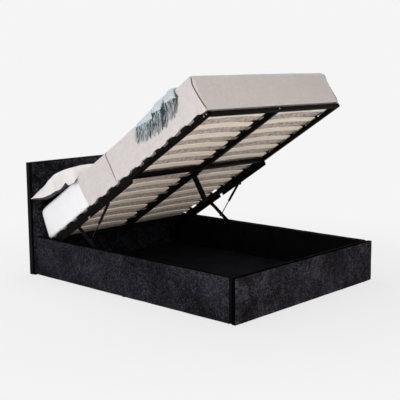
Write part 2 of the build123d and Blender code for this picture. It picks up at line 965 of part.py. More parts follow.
def build_frame():
    halves = {"head": (platform_start, 1), "foot": (platform_end, -1)}
    half_centre, split = tube_width / 2, platform_split
    for name, (end, way) in halves.items():
        end_inner = end + way * tube_width
        bar_inner = split - way * cross_bar_width
        side = raised(side_tube(min(end, split), max(end, split)))
        save(side, f"right_{name}_tube")
        save(other_side(side), f"left_{name}_tube")
        save(raised(cross_tube(min(end, end_inner), max(end, end_inner))), f"{name}_end_bar")
        save(raised(cross_tube(min(bar_inner, split), max(bar_inner, split))), f"{name}_cross_bar")
        span = sorted((end_inner, bar_inner))
        save(raised(tube(-half_centre, half_centre, *span, "y")), f"{name}_centre_tube")
    joint_bolts = [bolt(seat, way, joint_bolt_grip) for seat, way in joint_bolt_places()]
    save(raised(group(joint_bolts)), "joint_bolts")
    mount_bolts = [bolt(seat, way, mount_bolt_grip) for seat, way in mount_bolt_places()]
    mount_bolts += [other_side(piece) for piece in mount_bolts]
    save(raised(group(mount_bolts)), "mount_bolts")
    post, foot = leg()
    save(raised(post), "centre_leg")
    save(raised(foot), "leg_foot")


def build_slats():
    head, foot = slat_alongs()
    for name, alongs in (("head", head), ("foot", foot)):
        slats = group([slat(along) for along in alongs])
        save(raised(slats), f"right_{name}_slats")
        save(raised(other_side(slats)), f"left_{name}_slats")
    holders = group([side_holder(along) for along in head + foot])
    save(raised(holders), "right_slat_holders")
    save(raised(other_side(holders)), "left_slat_holders")
    save(raised(group([centre_holder(along) for along in head + foot])), "centre_slat_holders")


def build_bedding():
    mattress, sheet, cover = mattress_layers()
    save(raised(mattress), "mattress")
    save(raised(sheet), "fitted_sheet")
    save(raised(cover), "bed_cover")
    save(raised(throw()), "throw")
    strands = fringe()
    save(raised(group(strands + [other_side(strand) for strand in strands])), "throw_fringe")
    save(raised(pillow()), "right_pillow")
    save(raised(other_side(pillow())), "left_pillow")


def report_motion():
    """Prints the joint places and travels, for the record."""
    closed_top = platform_point(1, strut_joint_along, -strut_joint_drop)
    closed_low = arm_point(1, strut_arm_reach)
    closed_length = math.hypot(closed_low[0] - closed_top[0], closed_low[1] - closed_top[1])
    arm_travel = arm_closed_angle - arm_raised_angle
    tilt_travel = raised_tilt - arm_travel
    raised_turn = math.degrees(math.atan2(strut_rise, strut_run))
    closed_turn = math.degrees(
        math.atan2(closed_low[1] - closed_top[1], closed_low[0] - closed_top[0])
    )
    swing = closed_turn - raised_turn - raised_tilt
    print("arm pivot", arm_pivot_y, arm_pivot_height, "travel", arm_travel)
    print("platform pivot", platform_point(0, arm_joint_along, -arm_joint_drop), "travel", tilt_travel)
    print("strut pivot", (strut_top_y, strut_top_z), "travel", swing)
    print("strut axis", (-strut_run, -strut_rise), "stroke", strut_length - closed_length)
    worst = 0
    for step in range(11):
        share = step / 10
        turn = math.radians(raised_turn + (raised_tilt + swing) * share)
        length = strut_length + (closed_length - strut_length) * share
        top = platform_point(share, strut_joint_along, -strut_joint_drop)
        end = (top[0] + length * math.cos(turn), top[1] + length * math.sin(turn))
        stud = arm_point(share, strut_arm_reach)
        worst = max(worst, math.hypot(end[0] - stud[0], end[1] - stud[1]))
    print("open pivot strays by", worst)


build_base()
build_mechanism()
build_frame()
build_slats()
build_bedding()
report_motion()
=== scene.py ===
"""Ottoman storage bed with its platform raised: the looks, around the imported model. Blender 4.5."""

import json
import math
import random

import bpy
import numpy as np
from mathutils import Matrix, Vector, noise
from mathutils.bvhtree import BVHTree


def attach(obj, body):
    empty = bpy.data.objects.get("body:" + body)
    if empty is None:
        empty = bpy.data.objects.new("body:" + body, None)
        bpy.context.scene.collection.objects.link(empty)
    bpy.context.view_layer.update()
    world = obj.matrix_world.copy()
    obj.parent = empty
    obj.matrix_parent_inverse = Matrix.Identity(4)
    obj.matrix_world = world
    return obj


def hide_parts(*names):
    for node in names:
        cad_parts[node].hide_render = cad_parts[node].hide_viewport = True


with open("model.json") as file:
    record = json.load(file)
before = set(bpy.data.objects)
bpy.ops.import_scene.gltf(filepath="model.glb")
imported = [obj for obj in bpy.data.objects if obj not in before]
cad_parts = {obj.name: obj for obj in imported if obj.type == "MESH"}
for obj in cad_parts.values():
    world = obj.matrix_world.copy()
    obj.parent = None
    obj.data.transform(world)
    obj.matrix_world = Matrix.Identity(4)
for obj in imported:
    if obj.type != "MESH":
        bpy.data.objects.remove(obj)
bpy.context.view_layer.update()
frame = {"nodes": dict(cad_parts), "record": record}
nodes = frame["nodes"]
draw = random.Random(7)
MM = 0.001

# The platform's own flat place (x, -along, up), in millimetres, and where it stands raised
TILT = math.radians(32.6)
DATUM_Y, DATUM_Z = 889.54, 278.06
RAISE = Matrix.Translation((0, DATUM_Y * MM, DATUM_Z * MM)) @ Matrix.Rotation(-TILT, 4, "X")

# Camera, fitted to the photograph: place and reach in metres, turns in degrees, lens in millimetres
CAMERA_PLACE = Vector((-4.7914, -4.4855, 1.6245))
CAMERA_TURN, CAMERA_DIP, CAMERA_ROLL = 47.05, 8.77, -0.39
CAMERA_LENS, CAMERA_SENSOR, CAMERA_REACH = 77.14, 36, 300


def place_camera():
    turn, dip, roll = (math.radians(a) for a in (CAMERA_TURN, CAMERA_DIP, CAMERA_ROLL))
    look = Vector((math.sin(turn) * math.cos(dip), math.cos(turn) * math.cos(dip), -math.sin(dip)))
    right = Vector((math.cos(turn), -math.sin(turn), 0))
    over = right.cross(look)
    level = math.cos(roll) * right + math.sin(roll) * over
    over = -math.sin(roll) * right + math.cos(roll) * over
    data = bpy.data.cameras.new("camera")
    data.lens, data.sensor_width, data.clip_end = CAMERA_LENS, CAMERA_SENSOR, CAMERA_REACH
    camera = bpy.data.objects.new("camera", data)
    bpy.context.scene.collection.objects.link(camera)
    axes = Matrix((level, over, -look)).transposed().to_4x4()
    camera.matrix_world = Matrix.Translation(CAMERA_PLACE) @ axes
    bpy.context.scene.camera = camera


place_camera()

# Finishes


def linear(text):
    """An sRGB hex colour as the linear values that the shaders take."""
    parts = [int(text[i : i + 2], 16) / 255 for i in (1, 3, 5)]
    parts = [c / 12.92 if c <= 0.04045 else ((c + 0.055) / 1.055) ** 2.4 for c in parts]
    return (*parts, 1.0)


def feed(tree, socket, value):
    """Gives a socket its value, or links it to its source."""
    if isinstance(value, bpy.types.Node):
        value = value.outputs[0]
    if isinstance(value, bpy.types.NodeSocket):
        tree.links.new(value, socket)
    else:
        socket.default_value = value


def add(tree, kind, feeds=None, stops=None, **settings):
    """One shader node with its settings. feeds gives each socket its value or its source."""
    made = tree.nodes.new("ShaderNode" + kind)
    for name, value in settings.items():
        setattr(made, name, value)
    if stops:
        band = made.color_ramp.elements
        band.remove(band[1])
        band[0].position, band[0].color = stops[0][0], linear(stops[0][1])
        for spot, colour in stops[1:]:
            band.new(spot).color = linear(colour)
    for socket, value in (feeds or {}).items():
        feed(tree, made.inputs[socket], value)
    return made


def finish(name, sockets, colour=None, relief=None):
    """A material whose plain values, colour and relief go to the surface shader."""
    made = bpy.data.materials.new(name)
    made.use_nodes = True
    tree = made.node_tree
    shader = tree.nodes["Principled BSDF"]
    for socket, value in sockets.items():
        feed(tree, shader.inputs[socket], value)
    if colour:
        feed(tree, shader.inputs["Base Color"], colour(tree))
    if relief:
        feed(tree, shader.inputs["Normal"], relief(tree))
    return made


def spots(tree, turn=0.0, stretch=(1, 1, 1)):
    """Places on the piece, in metres, laid level with the platform where turn is its tilt."""
    place = add(tree, "TexCoord").outputs["Object"]
    return add(tree, "Mapping", {"Vector": place, "Rotation": (turn, 0, 0), "Scale": stretch})


def per(size_mm):
    """The scale of a texture whose cells are this big."""
    return 1000 / size_mm


def texture(tree, kind, size_mm, turn=0.0, stretch=(1, 1, 1), **sockets):
    """A texture with features of this size, laid over the piece."""
    return add(tree, kind, {"Vector": spots(tree, turn, stretch), "Scale": per(size_mm), **sockets})


def clouded(size_mm, stops, kind="TexNoise", **texture_settings):
    """Colour that wanders between these stops, in clouds of this size."""

    def colour(tree):
        level = texture(tree, kind, size_mm, **texture_settings)
        return add(tree, "ValToRGB", {"Fac": level}, stops)

    return colour


def grained(size_mm, height_mm, strength, kind="TexNoise", **texture_settings):
    """Relief of this height, with grains of this size."""

    def relief(tree):
        height = texture(tree, kind, size_mm, **texture_settings)
        return add(tree, "Bump", {"Height": height, "Distance": height_mm * MM, "Strength": strength})

    return relief


def multiplied(share, one, two):
    """One colour darkened by another, by this share."""

    def colour(tree):
        feeds = {"Factor": share, 6: one(tree), 7: two(tree)}
        return add(tree, "Mix", feeds, data_type="RGBA", blend_type="MULTIPLY").outputs[2]

    return colour


def crushed_velvet(name, patch_mm, fleck_mm, depth, light):
    """Polyester velvet, crushed in the dyeing: its pile lies in patches, slate where it leans."""

    def lie(tree):
        patches = texture(tree, "TexNoise", patch_mm, Detail=5, Roughness=0.65, Distortion=1.4)
        flecks = texture(tree, "TexNoise", fleck_mm, Detail=4, Roughness=0.7, Distortion=0.8)
        return add(tree, "Math", {0: patches, 1: 0.6, 2: flecks}, operation="MULTIPLY_ADD")

    def colour(tree):
        drifts = texture(tree, "TexNoise", 230, Detail=2)
        level = add(tree, "Math", {0: drifts, 1: 0.4, 2: lie(tree)}, operation="MULTIPLY_ADD")
        # The three noises come to about 1 in all, so this leaves a level of about 0
        level = add(tree, "Math", {0: level, 1: 1.0}, operation="SUBTRACT")
        level = add(tree, "Math", {0: level, 1: depth, 2: light}, operation="MULTIPLY_ADD")
        stops = [(0.26, "#040404"), (0.42, "#100f13"), (0.58, "#232228"), (0.82, "#403f49")]
        return add(tree, "ValToRGB", {"Fac": level}, stops)

    def relief(tree):
        return add(tree, "Bump", {"Height": lie(tree), "Distance": 2.0 * MM, "Strength": 0.6})

    sockets = {"Roughness": 0.9, "IOR": 1.45, "Specular IOR Level": 0.08, "Sheen Weight": 0.1}
    sockets |= {"Sheen Roughness": 0.4, "Sheen Tint": linear("#9e9cb4")}
    return finish(name, sockets, colour, relief)


def lining_cloth(name, dark, light):
    """Black spunbonded lining: matt, dimpled where it is bonded. The dimples are drawn twice as large."""
    sockets = {"Roughness": 0.8, "IOR": 1.45, "Specular IOR Level": 0.03}
    colour = clouded(180, [(0.3, dark), (0.7, light)], Detail=2)
    return finish(name, sockets, colour, grained(4, 0.3, 0.4, kind="TexVoronoi"))


def laminated_beech():
    """Steamed beech veneers pressed in a bow: cream, with short dark flecks along the grain."""
    stops = [(0.25, "#e8dac4"), (0.5, "#fbf2e4"), (0.75, "#fffaf2")]
    wood = {"turn": TILT, "Detail": 4, "Roughness": 0.6, "Distortion": 0.4}
    banded = clouded(14, stops, stretch=(0.08, 1, 1), **wood)
    stops = [(0.28, "#a98d68"), (0.42, "#ffffff")]
    flecked = clouded(2.2, stops, turn=TILT, stretch=(0.25, 1, 1), Detail=2)
    sockets = {"Roughness": 0.5, "IOR": 1.5, "Specular IOR Level": 0.35}
    relief = grained(6, 0.25, 0.4, turn=TILT, stretch=(0.1, 1, 1))
    return finish("laminated_beech", sockets, multiplied(0.5, banded, flecked), relief)


def woven(pitch_mm, crease_mm, cloud_mm):
    """Relief of crossed threads, on broad soft creases."""

    def relief(tree):
        parts = add(tree, "SeparateXYZ", {"Vector": spots(tree, TILT)})
        waves = []
        for axis in ("X", "Y", "Z"):
            turns = {0: parts.outputs[axis], 1: 2 * math.pi * per(pitch_mm)}
            turns = add(tree, "Math", turns, operation="MULTIPLY")
            waves.append(add(tree, "Math", {0: turns}, operation="SINE"))
        crossed = add(tree, "Math", {0: waves[0], 1: waves[1]}, operation="ADD")
        crossed = add(tree, "Math", {0: crossed, 1: waves[2]}, operation="ADD")
        fine = add(tree, "Bump", {"Height": crossed, "Distance": 0.2 * MM, "Strength": 0.3})
        creases = texture(tree, "TexNoise", cloud_mm, TILT, Detail=4, Roughness=0.6)
        feeds = {"Height": creases, "Distance": crease_mm * MM, "Strength": 0.5, "Normal": fine}
        return add(tree, "Bump", feeds)

    return relief


def cloth(
    name, stops, cloud_mm, pitch_mm, crease_mm=1.0, streak=(1, 1, 1), slub_mm=3, slub="#e6e6e6", sheen=0.1
):
    """Woven cloth. Its threads are drawn a few times too coarse, so that a close view shows them."""
    cloud = {"turn": TILT, "stretch": streak, "Detail": 4, "Roughness": 0.6, "Distortion": 0.3}
    toned = clouded(cloud_mm, stops, **cloud)
    slubbed = clouded(slub_mm, [(0.32, slub), (0.6, "#ffffff")], turn=TILT, Detail=3, Roughness=0.6)
    sockets = {"Roughness": 0.95, "IOR": 1.45, "Specular IOR Level": 0.15}
    sockets |= {"Sheen Weight": sheen, "Sheen Roughness": 0.5}
    relief = woven(pitch_mm, crease_mm, cloud_mm)
    return finish(name, sockets, multiplied(0.7, toned, slubbed), relief)


VELVET = crushed_velvet("crushed_velvet", patch_mm=28, fleck_mm=11, depth=1.4, light=0.51)
# On the foot panel and the headboard it is marked more deeply
DEEP_VELVET = crushed_velvet("crushed_velvet_deep", patch_mm=50, fleck_mm=10, depth=2.0, light=0.525)
# The same velvet, drawn tight round the narrow edges: brushed one way, so it is even and darker
EDGE_VELVET = finish(
    "edge_velvet",
    {"Roughness": 1.0, "IOR": 1.45, "Specular IOR Level": 0.0},
    clouded(8, [(0.3, "#020202"), (0.7, "#070709")], Detail=4),
    grained(8, 0.6, 0.5, Detail=4),
)
LINING = lining_cloth("lining_cloth", "#050506", "#0d0d0f")
BOARD_LINING = lining_cloth("board_lining", "#111114", "#1b1b1f")
# Black powder coat, baked on steel: a satin skin with a fine orange peel, browned by handling
POWDER = finish(
    "powder_coat",
    {"Roughness": 0.5, "IOR": 1.45, "Specular IOR Level": 0.03},
    clouded(60, [(0.35, "#080605"), (0.75, "#130f0d")], Detail=4, Roughness=0.6),
    grained(2.4, 0.12, 0.5, Detail=2),
)
# Zinc plate, tumbled bright: pale grey metal with a faint spangle, drawn coarse so that it shows
ZINC = finish(
    "zinc_plate",
    {"Metallic": 1.0, "Roughness": 0.38},
    clouded(5, [(0.2, "#7d7d7b"), (0.8, "#a9a9a5")], kind="TexVoronoi"),
)
# Zinc plate passivated black: dark metal that clouds a little, on the brackets and most bolts
BLACK_ZINC = finish(
    "black_zinc",
    {"Metallic": 1.0, "Roughness": 0.45},
    clouded(9, [(0.3, "#151515"), (0.7, "#26262a")], Detail=3),
)
# Hard-chromed rod, ground along its length: a dark mirror with fine streaks, drawn coarse to show
ROD = finish(
    "polished_steel",
    {"Metallic": 1.0, "Roughness": 0.24},
    clouded(1.5, [(0.3, "#2c2c2e"), (0.7, "#404044")], stretch=(1, 1, 0.1)),
)
# Black stove enamel on the strut's cylinder: smooth, and a little glossy
ENAMEL = finish(
    "stove_enamel",
    {"Roughness": 0.35, "IOR": 1.5, "Specular IOR Level": 0.06},
    clouded(25, [(0.3, "#090909"), (0.7, "#121212")], Detail=3),
)
# Black injection-moulded nylon: matt from a spark-eroded mould, whose grain is drawn coarse
NYLON = finish(
    "moulded_nylon",
    {"Roughness": 0.6, "IOR": 1.5, "Specular IOR Level": 0.08},
    clouded(18, [(0.3, "#0b0b0b"), (0.7, "#141414")]),
    grained(1.2, 0.15, 0.5, Detail=2),
)
BEECH = laminated_beech()
# Planed pine: pale yellow, its year rings in long stripes
PINE = finish(
    "planed_pine",
    {"Roughness": 0.6, "IOR": 1.5},
    clouded(9, [(0.3, "#b98f5c"), (0.6, "#d7b27d"), (0.8, "#e2c493")], stretch=(1, 0.06, 1), Detail=4),
)
COTTON = cloth("bleached_cotton", [(0.3, "#f8f8fa"), (0.7, "#fcfcfd")], 120, 1.2, 2.0)
COVER = cloth(
    "brushed_cotton",
    [(0.3, "#d0c9c7"), (0.5, "#d3ccca"), (0.7, "#d6cfcd")],
    cloud_mm=90,
    pitch_mm=1.6,
    streak=(0.7, 1, 0.3),
    slub_mm=24,
    slub="#f3f1f0",
)
# Painted shade: the cover's inside, the same brushed cotton drawn much darker, for the shade it lies in
# under the mattress's edge
COVER_BACK_PAINTED_SHADE = cloth("brushed_cotton_back_painted_shade", [(0.3, "#8b8481"), (0.7, "#a19a96")], 90, 1.6)
TICKING = cloth(
    "damask_ticking",
    [(0.34, "#7d7375"), (0.45, "#b9aeab"), (0.58, "#d6ccc5"), (0.75, "#e6ddd5")],
    cloud_mm=24,
    pitch_mm=1.6,
    crease_mm=0.8,
    slub_mm=6,
    slub="#cbc5c6",
)
THROW = cloth("knitted_acrylic", [(0.3, "#bcc5ca"), (0.7, "#d2dade")], 40, 4.0, 1.5, sheen=0.2)
# Painted shade: the knit drawn dark slate, on the throw's faces deep in a crease between its folds
THROW_CREASE_SHADE = cloth("knitted_acrylic_crease_shade", [(0.3, "#3d4a52"), (0.7, "#5d6c75")], 24, 4.0, 1.5)
YARN_LIGHT = cloth("fringe_yarn_light", [(0.3, "#a6b4bb"), (0.7, "#c8d3d8")], 12, 2.0)
# Dark yarn: some strands at random, and more under the creases, where they are painted shade
YARN_DARK_AND_SHADE = cloth("fringe_yarn_dark_and_shade", [(0.3, "#28343a"), (0.7, "#4d5d64")], 12, 2.0)
PILLOW = cloth("percale", [(0.3, "#e4dfdc"), (0.7, "#efebe9")], 90, 1.2, 2.0)
# The pillow's underside: slate percale, drawn darker still as painted shade for the shadow beneath the
# pillow
PILLOW_BACK_AND_SHADE = cloth("percale_slate_and_shade", [(0.3, "#38343d"), (0.7, "#484450")], 60, 1.2)
# Dark seam thread, drawn near-black so that it stands also for the shade in the seams' furrows, which is
# painted shade
SEAM_AND_SHADE = cloth("seam_thread_and_shade", [(0.3, "#2b2625"), (0.7, "#3d3735")], 10, 1.0, 0.2)
PIPING = cloth("white_piping", [(0.3, "#f2f0f0"), (0.7, "#fbfafa")], 10, 1.0, 0.2)

FINISHES = {
    "velvet": VELVET,
    "panel_board": LINING,
    "timber": PINE,
    "floor_board": BOARD_LINING,
    "dark_plastic": NYLON,
    "zinc_steel": ZINC,
    "black_steel": POWDER,
    "strut_black": ENAMEL,
    "polished_rod": ROD,
    "slat_wood": BEECH,
    "mattress_ticking": TICKING,
    "sheet_cotton": COTTON,
    "cover_cloth": COVER,
    "throw_wool": THROW,
    "pillow_cotton": PILLOW,
}
BLACKENED = ("corner_brackets", "corner_bolts", "plate_bolts", "mount_bolts", "joint_bolts")
OWN_FINISH = dict.fromkeys(BLACKENED, BLACK_ZINC)
OWN_FINISH["headboard_board"] = BOARD_LINING
for part in frame["record"]["subparts"]:
    for holder in nodes[part["node"]].material_slots:
        holder.material = OWN_FINISH.get(part["node"], FINISHES[part["material_slot"]])

# Mesh making. Points are in millimetres.

TINY = 1e-9


def build(name, points, faces, finishes, which=None, lift=False):
    """A smooth mesh piece. lift stands it on the raised platform."""
    mesh = bpy.data.meshes.new(name)
    mesh.from_pydata([tuple(float(c) * MM for c in point) for point in points], [], faces)
    if lift:
        mesh.transform(RAISE)
    for material in finishes:
        mesh.materials.append(material)
    for i, face in enumerate(mesh.polygons):
        face.use_smooth = True
        if which is not None:
            face.material_index = int(which[i])
    mesh.update()
    piece = bpy.data.objects.new(name, mesh)
    bpy.context.scene.collection.objects.link(piece)
    return piece


def box_skin(xs, ys, zs, keep=None):
    """Points and outward faces of a box's surface, cut at these coordinates."""
    cuts_at, found, points, faces = (xs, ys, zs), {}, [], []

    def corner(key):
        if key not in found:
            found[key] = len(points)
            points.append([cuts_at[n][key[n]] for n in range(3)])
        return found[key]

    for axis in range(3):
        one, two = (axis + 1) % 3, (axis + 2) % 3
        for end in (0, len(cuts_at[axis]) - 1):
            for a in range(len(cuts_at[one]) - 1):
                for b in range(len(cuts_at[two]) - 1):
                    ring = [(a, b), (a + 1, b), (a + 1, b + 1), (a, b + 1)]
                    keys = []
                    for p, q in ring if end else ring[::-1]:
                        key = [0, 0, 0]
                        key[axis], key[one], key[two] = end, p, q
                        keys.append(tuple(key))
                    if keep:
                        middle = [sum(cuts_at[n][k[n]] for k in keys) / 4 for n in range(3)]
                        if not keep(middle):
                            continue
                    faces.append([corner(key) for key in keys])
    return np.array(points, dtype=float), faces


# Where a rounded edge is cut, as shares of its width, and how near two cuts may be
EDGE_SHARES, NEAREST_CUTS = (0.12, 0.3, 0.55, 0.8, 1.0), 0.1


def cuts(low, high, step, edge, extra=()):
    """Coordinates about step apart, closer over the width of a rounded edge."""
    places = {low, high}
    places.update(low + edge * share for share in EDGE_SHARES if edge)
    places.update(high - edge * share for share in EDGE_SHARES if edge)
    count = max(1, round((high - low - 2 * edge) / step))
    places.update(low + edge + (high - low - 2 * edge) * i / count for i in range(count + 1))
    places.update(e for e in extra if low < e < high)
    kept = []
    for place in sorted(places):
        if not kept or place - kept[-1] > NEAREST_CUTS:
            kept.append(place)
    kept[-1] = high
    return kept


def soften(points, low, high, corner, top_edge, low_edge):
    """Rounds a box's surface: its upright corners, and its edges above and below."""
    low, high = np.array(low, float), np.array(high, float)
    centre, half = (low + high) / 2, (high - low) / 2
    plan = points[:, :2] - centre[:2]
    over = np.maximum(np.abs(plan) - (half[:2] - corner), 0)
    far, size = over.max(axis=1), np.maximum(np.hypot(over[:, 0], over[:, 1]), TINY)
    fit = np.where(far > 0, far / size, 1)
    plan = np.sign(plan) * (np.minimum(np.abs(plan), half[:2] - corner) + over * fit[:, None])
    way = np.sign(plan) * over / size[:, None]
    out = np.where(far > 0, far - corner, -corner - 1)
    z = points[:, 2].copy()
    for edge, base, sign in ((top_edge, high[2], 1), (low_edge, low[2], -1)):
        if not edge:
            continue
        start = sign * base - edge
        rise, reach = np.maximum(sign * z - start, 0), np.maximum(out + edge, 0)
        both = (rise > 0) & (reach > 0)
        fit = np.maximum(rise, reach) / np.maximum(np.hypot(rise, reach), TINY)
        new_out = np.where(both, -edge + reach * fit, out)
        z = np.where(both, sign * (start + rise * fit), z)
        plan = plan + way * (new_out - out)[:, None]
        out = new_out
    return np.column_stack([plan + centre[:2], z])


def face_ways(points, faces):
    """The way that each four-sided face looks, longer for a larger face."""
    a, b, c, d = (points[corner] for corner in np.array(faces).T)
    return np.cross(c - a, d - b)


def unit(ways):
    """The same ways, each one unit long."""
    return ways / np.maximum(np.linalg.norm(ways, axis=1, keepdims=True), TINY)


def facing(points, faces):
    """The way out at each point, from the faces round it."""
    sums, ways = np.zeros_like(points), face_ways(points, faces)
    for corner in np.array(faces).T:
        np.add.at(sums, corner, ways)
    return unit(sums)


def ripple(points, size_mm, seed):
    """Smooth noise at each point, from about -1 to 1."""
    shift = Vector((seed, seed * 1.7, -seed))
    return np.array([noise.noise(Vector(point) / size_mm + shift) for point in points])


def streaks(points, sizes_mm, shift):
    """Smooth noise with its own size each way. It doesn't change along a way whose size is inf."""
    return np.array([noise.noise(Vector(place)) for place in points / sizes_mm + shift])


def ramp(value, none, full):
    """0 up to none, 1 from full on, and in proportion between them."""
    return np.clip((value - none) / (full - none), 0, 1)


def at(table, place):
    """What a table of places and values says for this place."""
    return np.interp(place, *zip(*table))


def settle(piece, body, slot_name, *replaced):
    """The piece rides on a body and stands for these solids, which it hides. slot_name is not used."""
    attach(piece, body)
    if replaced:
        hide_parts(*replaced)


def smooth(piece):
    """One round of subdivision."""
    made = piece.modifiers.new("smooth", "SUBSURF")
    made.levels = made.render_levels = 1


def tube(path, radius, sides, taper=None, loop=False):
    """Points and faces of a round cord along a path, capped, or joined end to end as a loop."""
    path = [Vector(p) for p in path]
    last = len(path) - 1
    points, faces = [], []
    side = None
    for i, place in enumerate(path):
        before = path[i - 1] if i or loop else place
        after = path[(i + 1) % len(path)] if i < last or loop else place
        ahead = (after - before).normalized()
        if side is None:
            side = ahead.orthogonal().normalized()
        side = (side - ahead * side.dot(ahead)).normalized()
        other = ahead.cross(side)
        wide = radius * (taper(i / last) if taper else 1)
        for n in range(sides):
            turn = 2 * math.pi * n / sides
            points.append(place + (side * math.cos(turn) + other * math.sin(turn)) * wide)
    for i in range(len(path) if loop else last):
        k = (i + 1) % len(path)
        for n in range(sides):
            m = (n + 1) % sides
            faces.append([i * sides + n, i * sides + m, k * sides + m, k * sides + n])
    if not loop:
        faces.append(list(range(sides))[::-1])
        faces.append([last * sides + n for n in range(sides)])
    return points, faces


def merged(parts):
    """Several point and face lists as one, with the number of each face's part."""
    points, faces, which = [], [], []
    for number, (more, rings) in enumerate(parts):
        begin = len(points)
        points += list(more)
        faces += [[n + begin for n in ring] for ring in rings]
        which += [number] * len(rings)
    return points, faces, which


# Upholstered panels of the base and headboard

HALF_BASE, HALF_HEAD, OVERHANG = 800, 823, 3
FOOT_FACE, FOOT_INNER, HEAD_FACE, HEAD_BOARD = -1071, -1017, 1004, 1033
BASE_LOW, BASE_TOP, HEAD_TOP = 4, 312, 900
BOARD, RAIL_INNER, SKIN, SOFT_EDGE = 18.2, 757, 0.2, 7
# A face this wide is broad. Steps of the mesh over a broad face, over a narrow one, and upwards
BROAD, BROAD_STEP, NARROW_STEP, UP_STEP = 200, 26, 12, 24
# How far the wadding swells, how far apart, and how much the cover draws it in everywhere
WADDING_SWELL, WADDING_MM, WADDING_DRAWN = 1.4, 120, 0.6
# Seams sewn down through the wadding near the foot panel's two ends
SEAM_INSET, SEAM_DEEP, SEAM_HALF, SEAM_CUTS = 14, 2.2, 3, (-5, -2.5, 0, 2.5, 5)
# A face looks along an axis where this much of its normal does
LOOKS_ALONG = 0.7


def upholstered(name, low, high, plain_axis, node_name, velvet, seams=()):
    """A padded panel: crushed velvet outside, drawn tight on its narrow faces."""
    steps = [BROAD_STEP if high[n] - low[n] > BROAD else NARROW_STEP for n in (0, 1)]
    xs = cuts(low[0], high[0], steps[0], SOFT_EDGE, [seam + cut for seam in seams for cut in SEAM_CUTS])
    ys = cuts(low[1], high[1], steps[1], SOFT_EDGE)
    zs = cuts(low[2], high[2], UP_STEP, SOFT_EDGE)
    points, faces = box_skin(xs, ys, zs)
    shape = soften(points, low, high, SOFT_EDGE, SOFT_EDGE, SOFT_EDGE)
    swell = WADDING_SWELL * ripple(shape, WADDING_MM, seed=len(name)) - WADDING_DRAWN
    for seam in seams:
        swell -= SEAM_DEEP * np.exp(-(((points[:, 0] - seam) / SEAM_HALF) ** 2))
    shape = np.clip(shape + facing(shape, faces) * swell[:, None], low, high)
    ways = unit(face_ways(shape, faces))
    plain = (np.abs(ways[:, plain_axis]) > LOOKS_ALONG) | (ways[:, 2] > LOOKS_ALONG)
    piece = build(name, shape, faces, [velvet, EDGE_VELVET], plain)
    settle(piece, "base", "velvet", node_name)


foot_half = HALF_BASE + OVERHANG
foot_low, foot_high = (-foot_half, FOOT_FACE, BASE_LOW), (foot_half, FOOT_INNER - BOARD, BASE_TOP)
foot_seams = (SEAM_INSET - foot_half, foot_half - SEAM_INSET)
upholstered("foot_panel_velvet", foot_low, foot_high, 0, "foot_cover", DEEP_VELVET, foot_seams)
for side, name in ((-1, "left"), (1, "right")):
    edges = sorted((side * (RAIL_INNER + BOARD), side * HALF_BASE))
    rail_low, rail_high = (edges[0], FOOT_INNER, BASE_LOW), (edges[1], HEAD_FACE, BASE_TOP)
    upholstered(f"{name}_rail_velvet", rail_low, rail_high, 1, f"{name}_rail_cover", VELVET)
head_low, head_high = (-HALF_HEAD, HEAD_FACE, BASE_LOW), (HALF_HEAD, HEAD_BOARD - SKIN, HEAD_TOP)
upholstered("headboard_velvet", head_low, head_high, 0, "headboard_pad", DEEP_VELVET)

# Mattress and what is on it. It all lies on the platform: -y is along it, from its head to its foot

START, END, HALF, MIDDLE = 46, 1986, 746, 1013
BED_LOW, THICK, TOP_EDGE, LOW_EDGE, CORNER = 25, 238, 32, 26, 36
BED_TOP = BED_LOW + THICK
# Its sides bulge and its top is crowned, and each dies out this far from an edge
BULGE, BULGE_INSET, CROWN, CROWN_INSET = 5, 120, 6, 300
# How far the head end stands nearer the headboard than START, at its top and at its foot
LEAN_TOP, LEAN_LOW = 32, 64
# The length of bed that leans with it, and the share of the lean that its rounded top edge lacks
LEAN_REACH, LEAN_ROUNDED = 300, 0.6


def bed_form(points, grow, low, low_edge, corner=CORNER):
    """Box points laid on the mattress's form, this much outside its ticking."""
    low_corner = (-HALF - grow, -END - grow, low)
    high_corner = (HALF + grow, -START + grow, BED_TOP + grow)
    shape = soften(points, low_corner, high_corner, corner + grow, TOP_EDGE + grow, low_edge)
    x, y, z = shape.T
    long_half = END - MIDDLE
    side_out, end_out = np.abs(x), np.abs(y + MIDDLE)
    at_side = (1 - ramp(end_out, 0, long_half) ** 2) * ramp(side_out, HALF - BULGE_INSET, HALF)
    at_end = (1 - ramp(side_out, 0, HALF) ** 2) * ramp(end_out, long_half - BULGE_INSET, long_half)
    x = x + np.sign(x) * BULGE * at_side
    y = y + np.sign(y + MIDDLE) * BULGE * at_end
    inset = np.minimum(HALF - np.abs(x), long_half - np.abs(y + MIDDLE))
    rise = ramp(inset, TOP_EDGE, CROWN_INSET)
    z = z + CROWN * rise * (2 - rise) * ramp(z, BED_LOW + THICK / 2, BED_TOP)
    pushed = LEAN_TOP + (LEAN_LOW - LEAN_TOP) * ramp(z, BED_TOP - TOP_EDGE, BED_LOW + LOW_EDGE)
    pushed *= 1 - LEAN_ROUNDED * ramp(z, BED_TOP - TOP_EDGE, BED_TOP)
    y = y + pushed * ramp(y, -START - LEAN_REACH, -START) ** 2
    return np.column_stack([x, y, z])


def bed_net(grow, steps, keep=None):
    """Points and faces of a box this much outside the mattress, with steps about this long."""
    spans = ((-HALF - grow, HALF + grow), (-END - grow, -START + grow), (BED_LOW - grow, BED_TOP + grow))
    edges = (CORNER, CORNER, LOW_EDGE)
    nets = [cuts(*span, step, edge) for span, step, edge in zip(spans, steps, edges)]
    return box_skin(*nets, keep)


MATTRESS_STEPS, SHEET_STEPS = (45, 24, 40), (40, 32, 24)
# A point this near to a face of the box is on it
ON_FACE = 1
# The mattress's underside, this far in from its sides: how it swells, how far apart, and how far
# the slats press it in
UNDER_INSET, UNDER_SWELL, UNDER_MM, PRESSED_IN = 60, 1.5, 70, 1.0
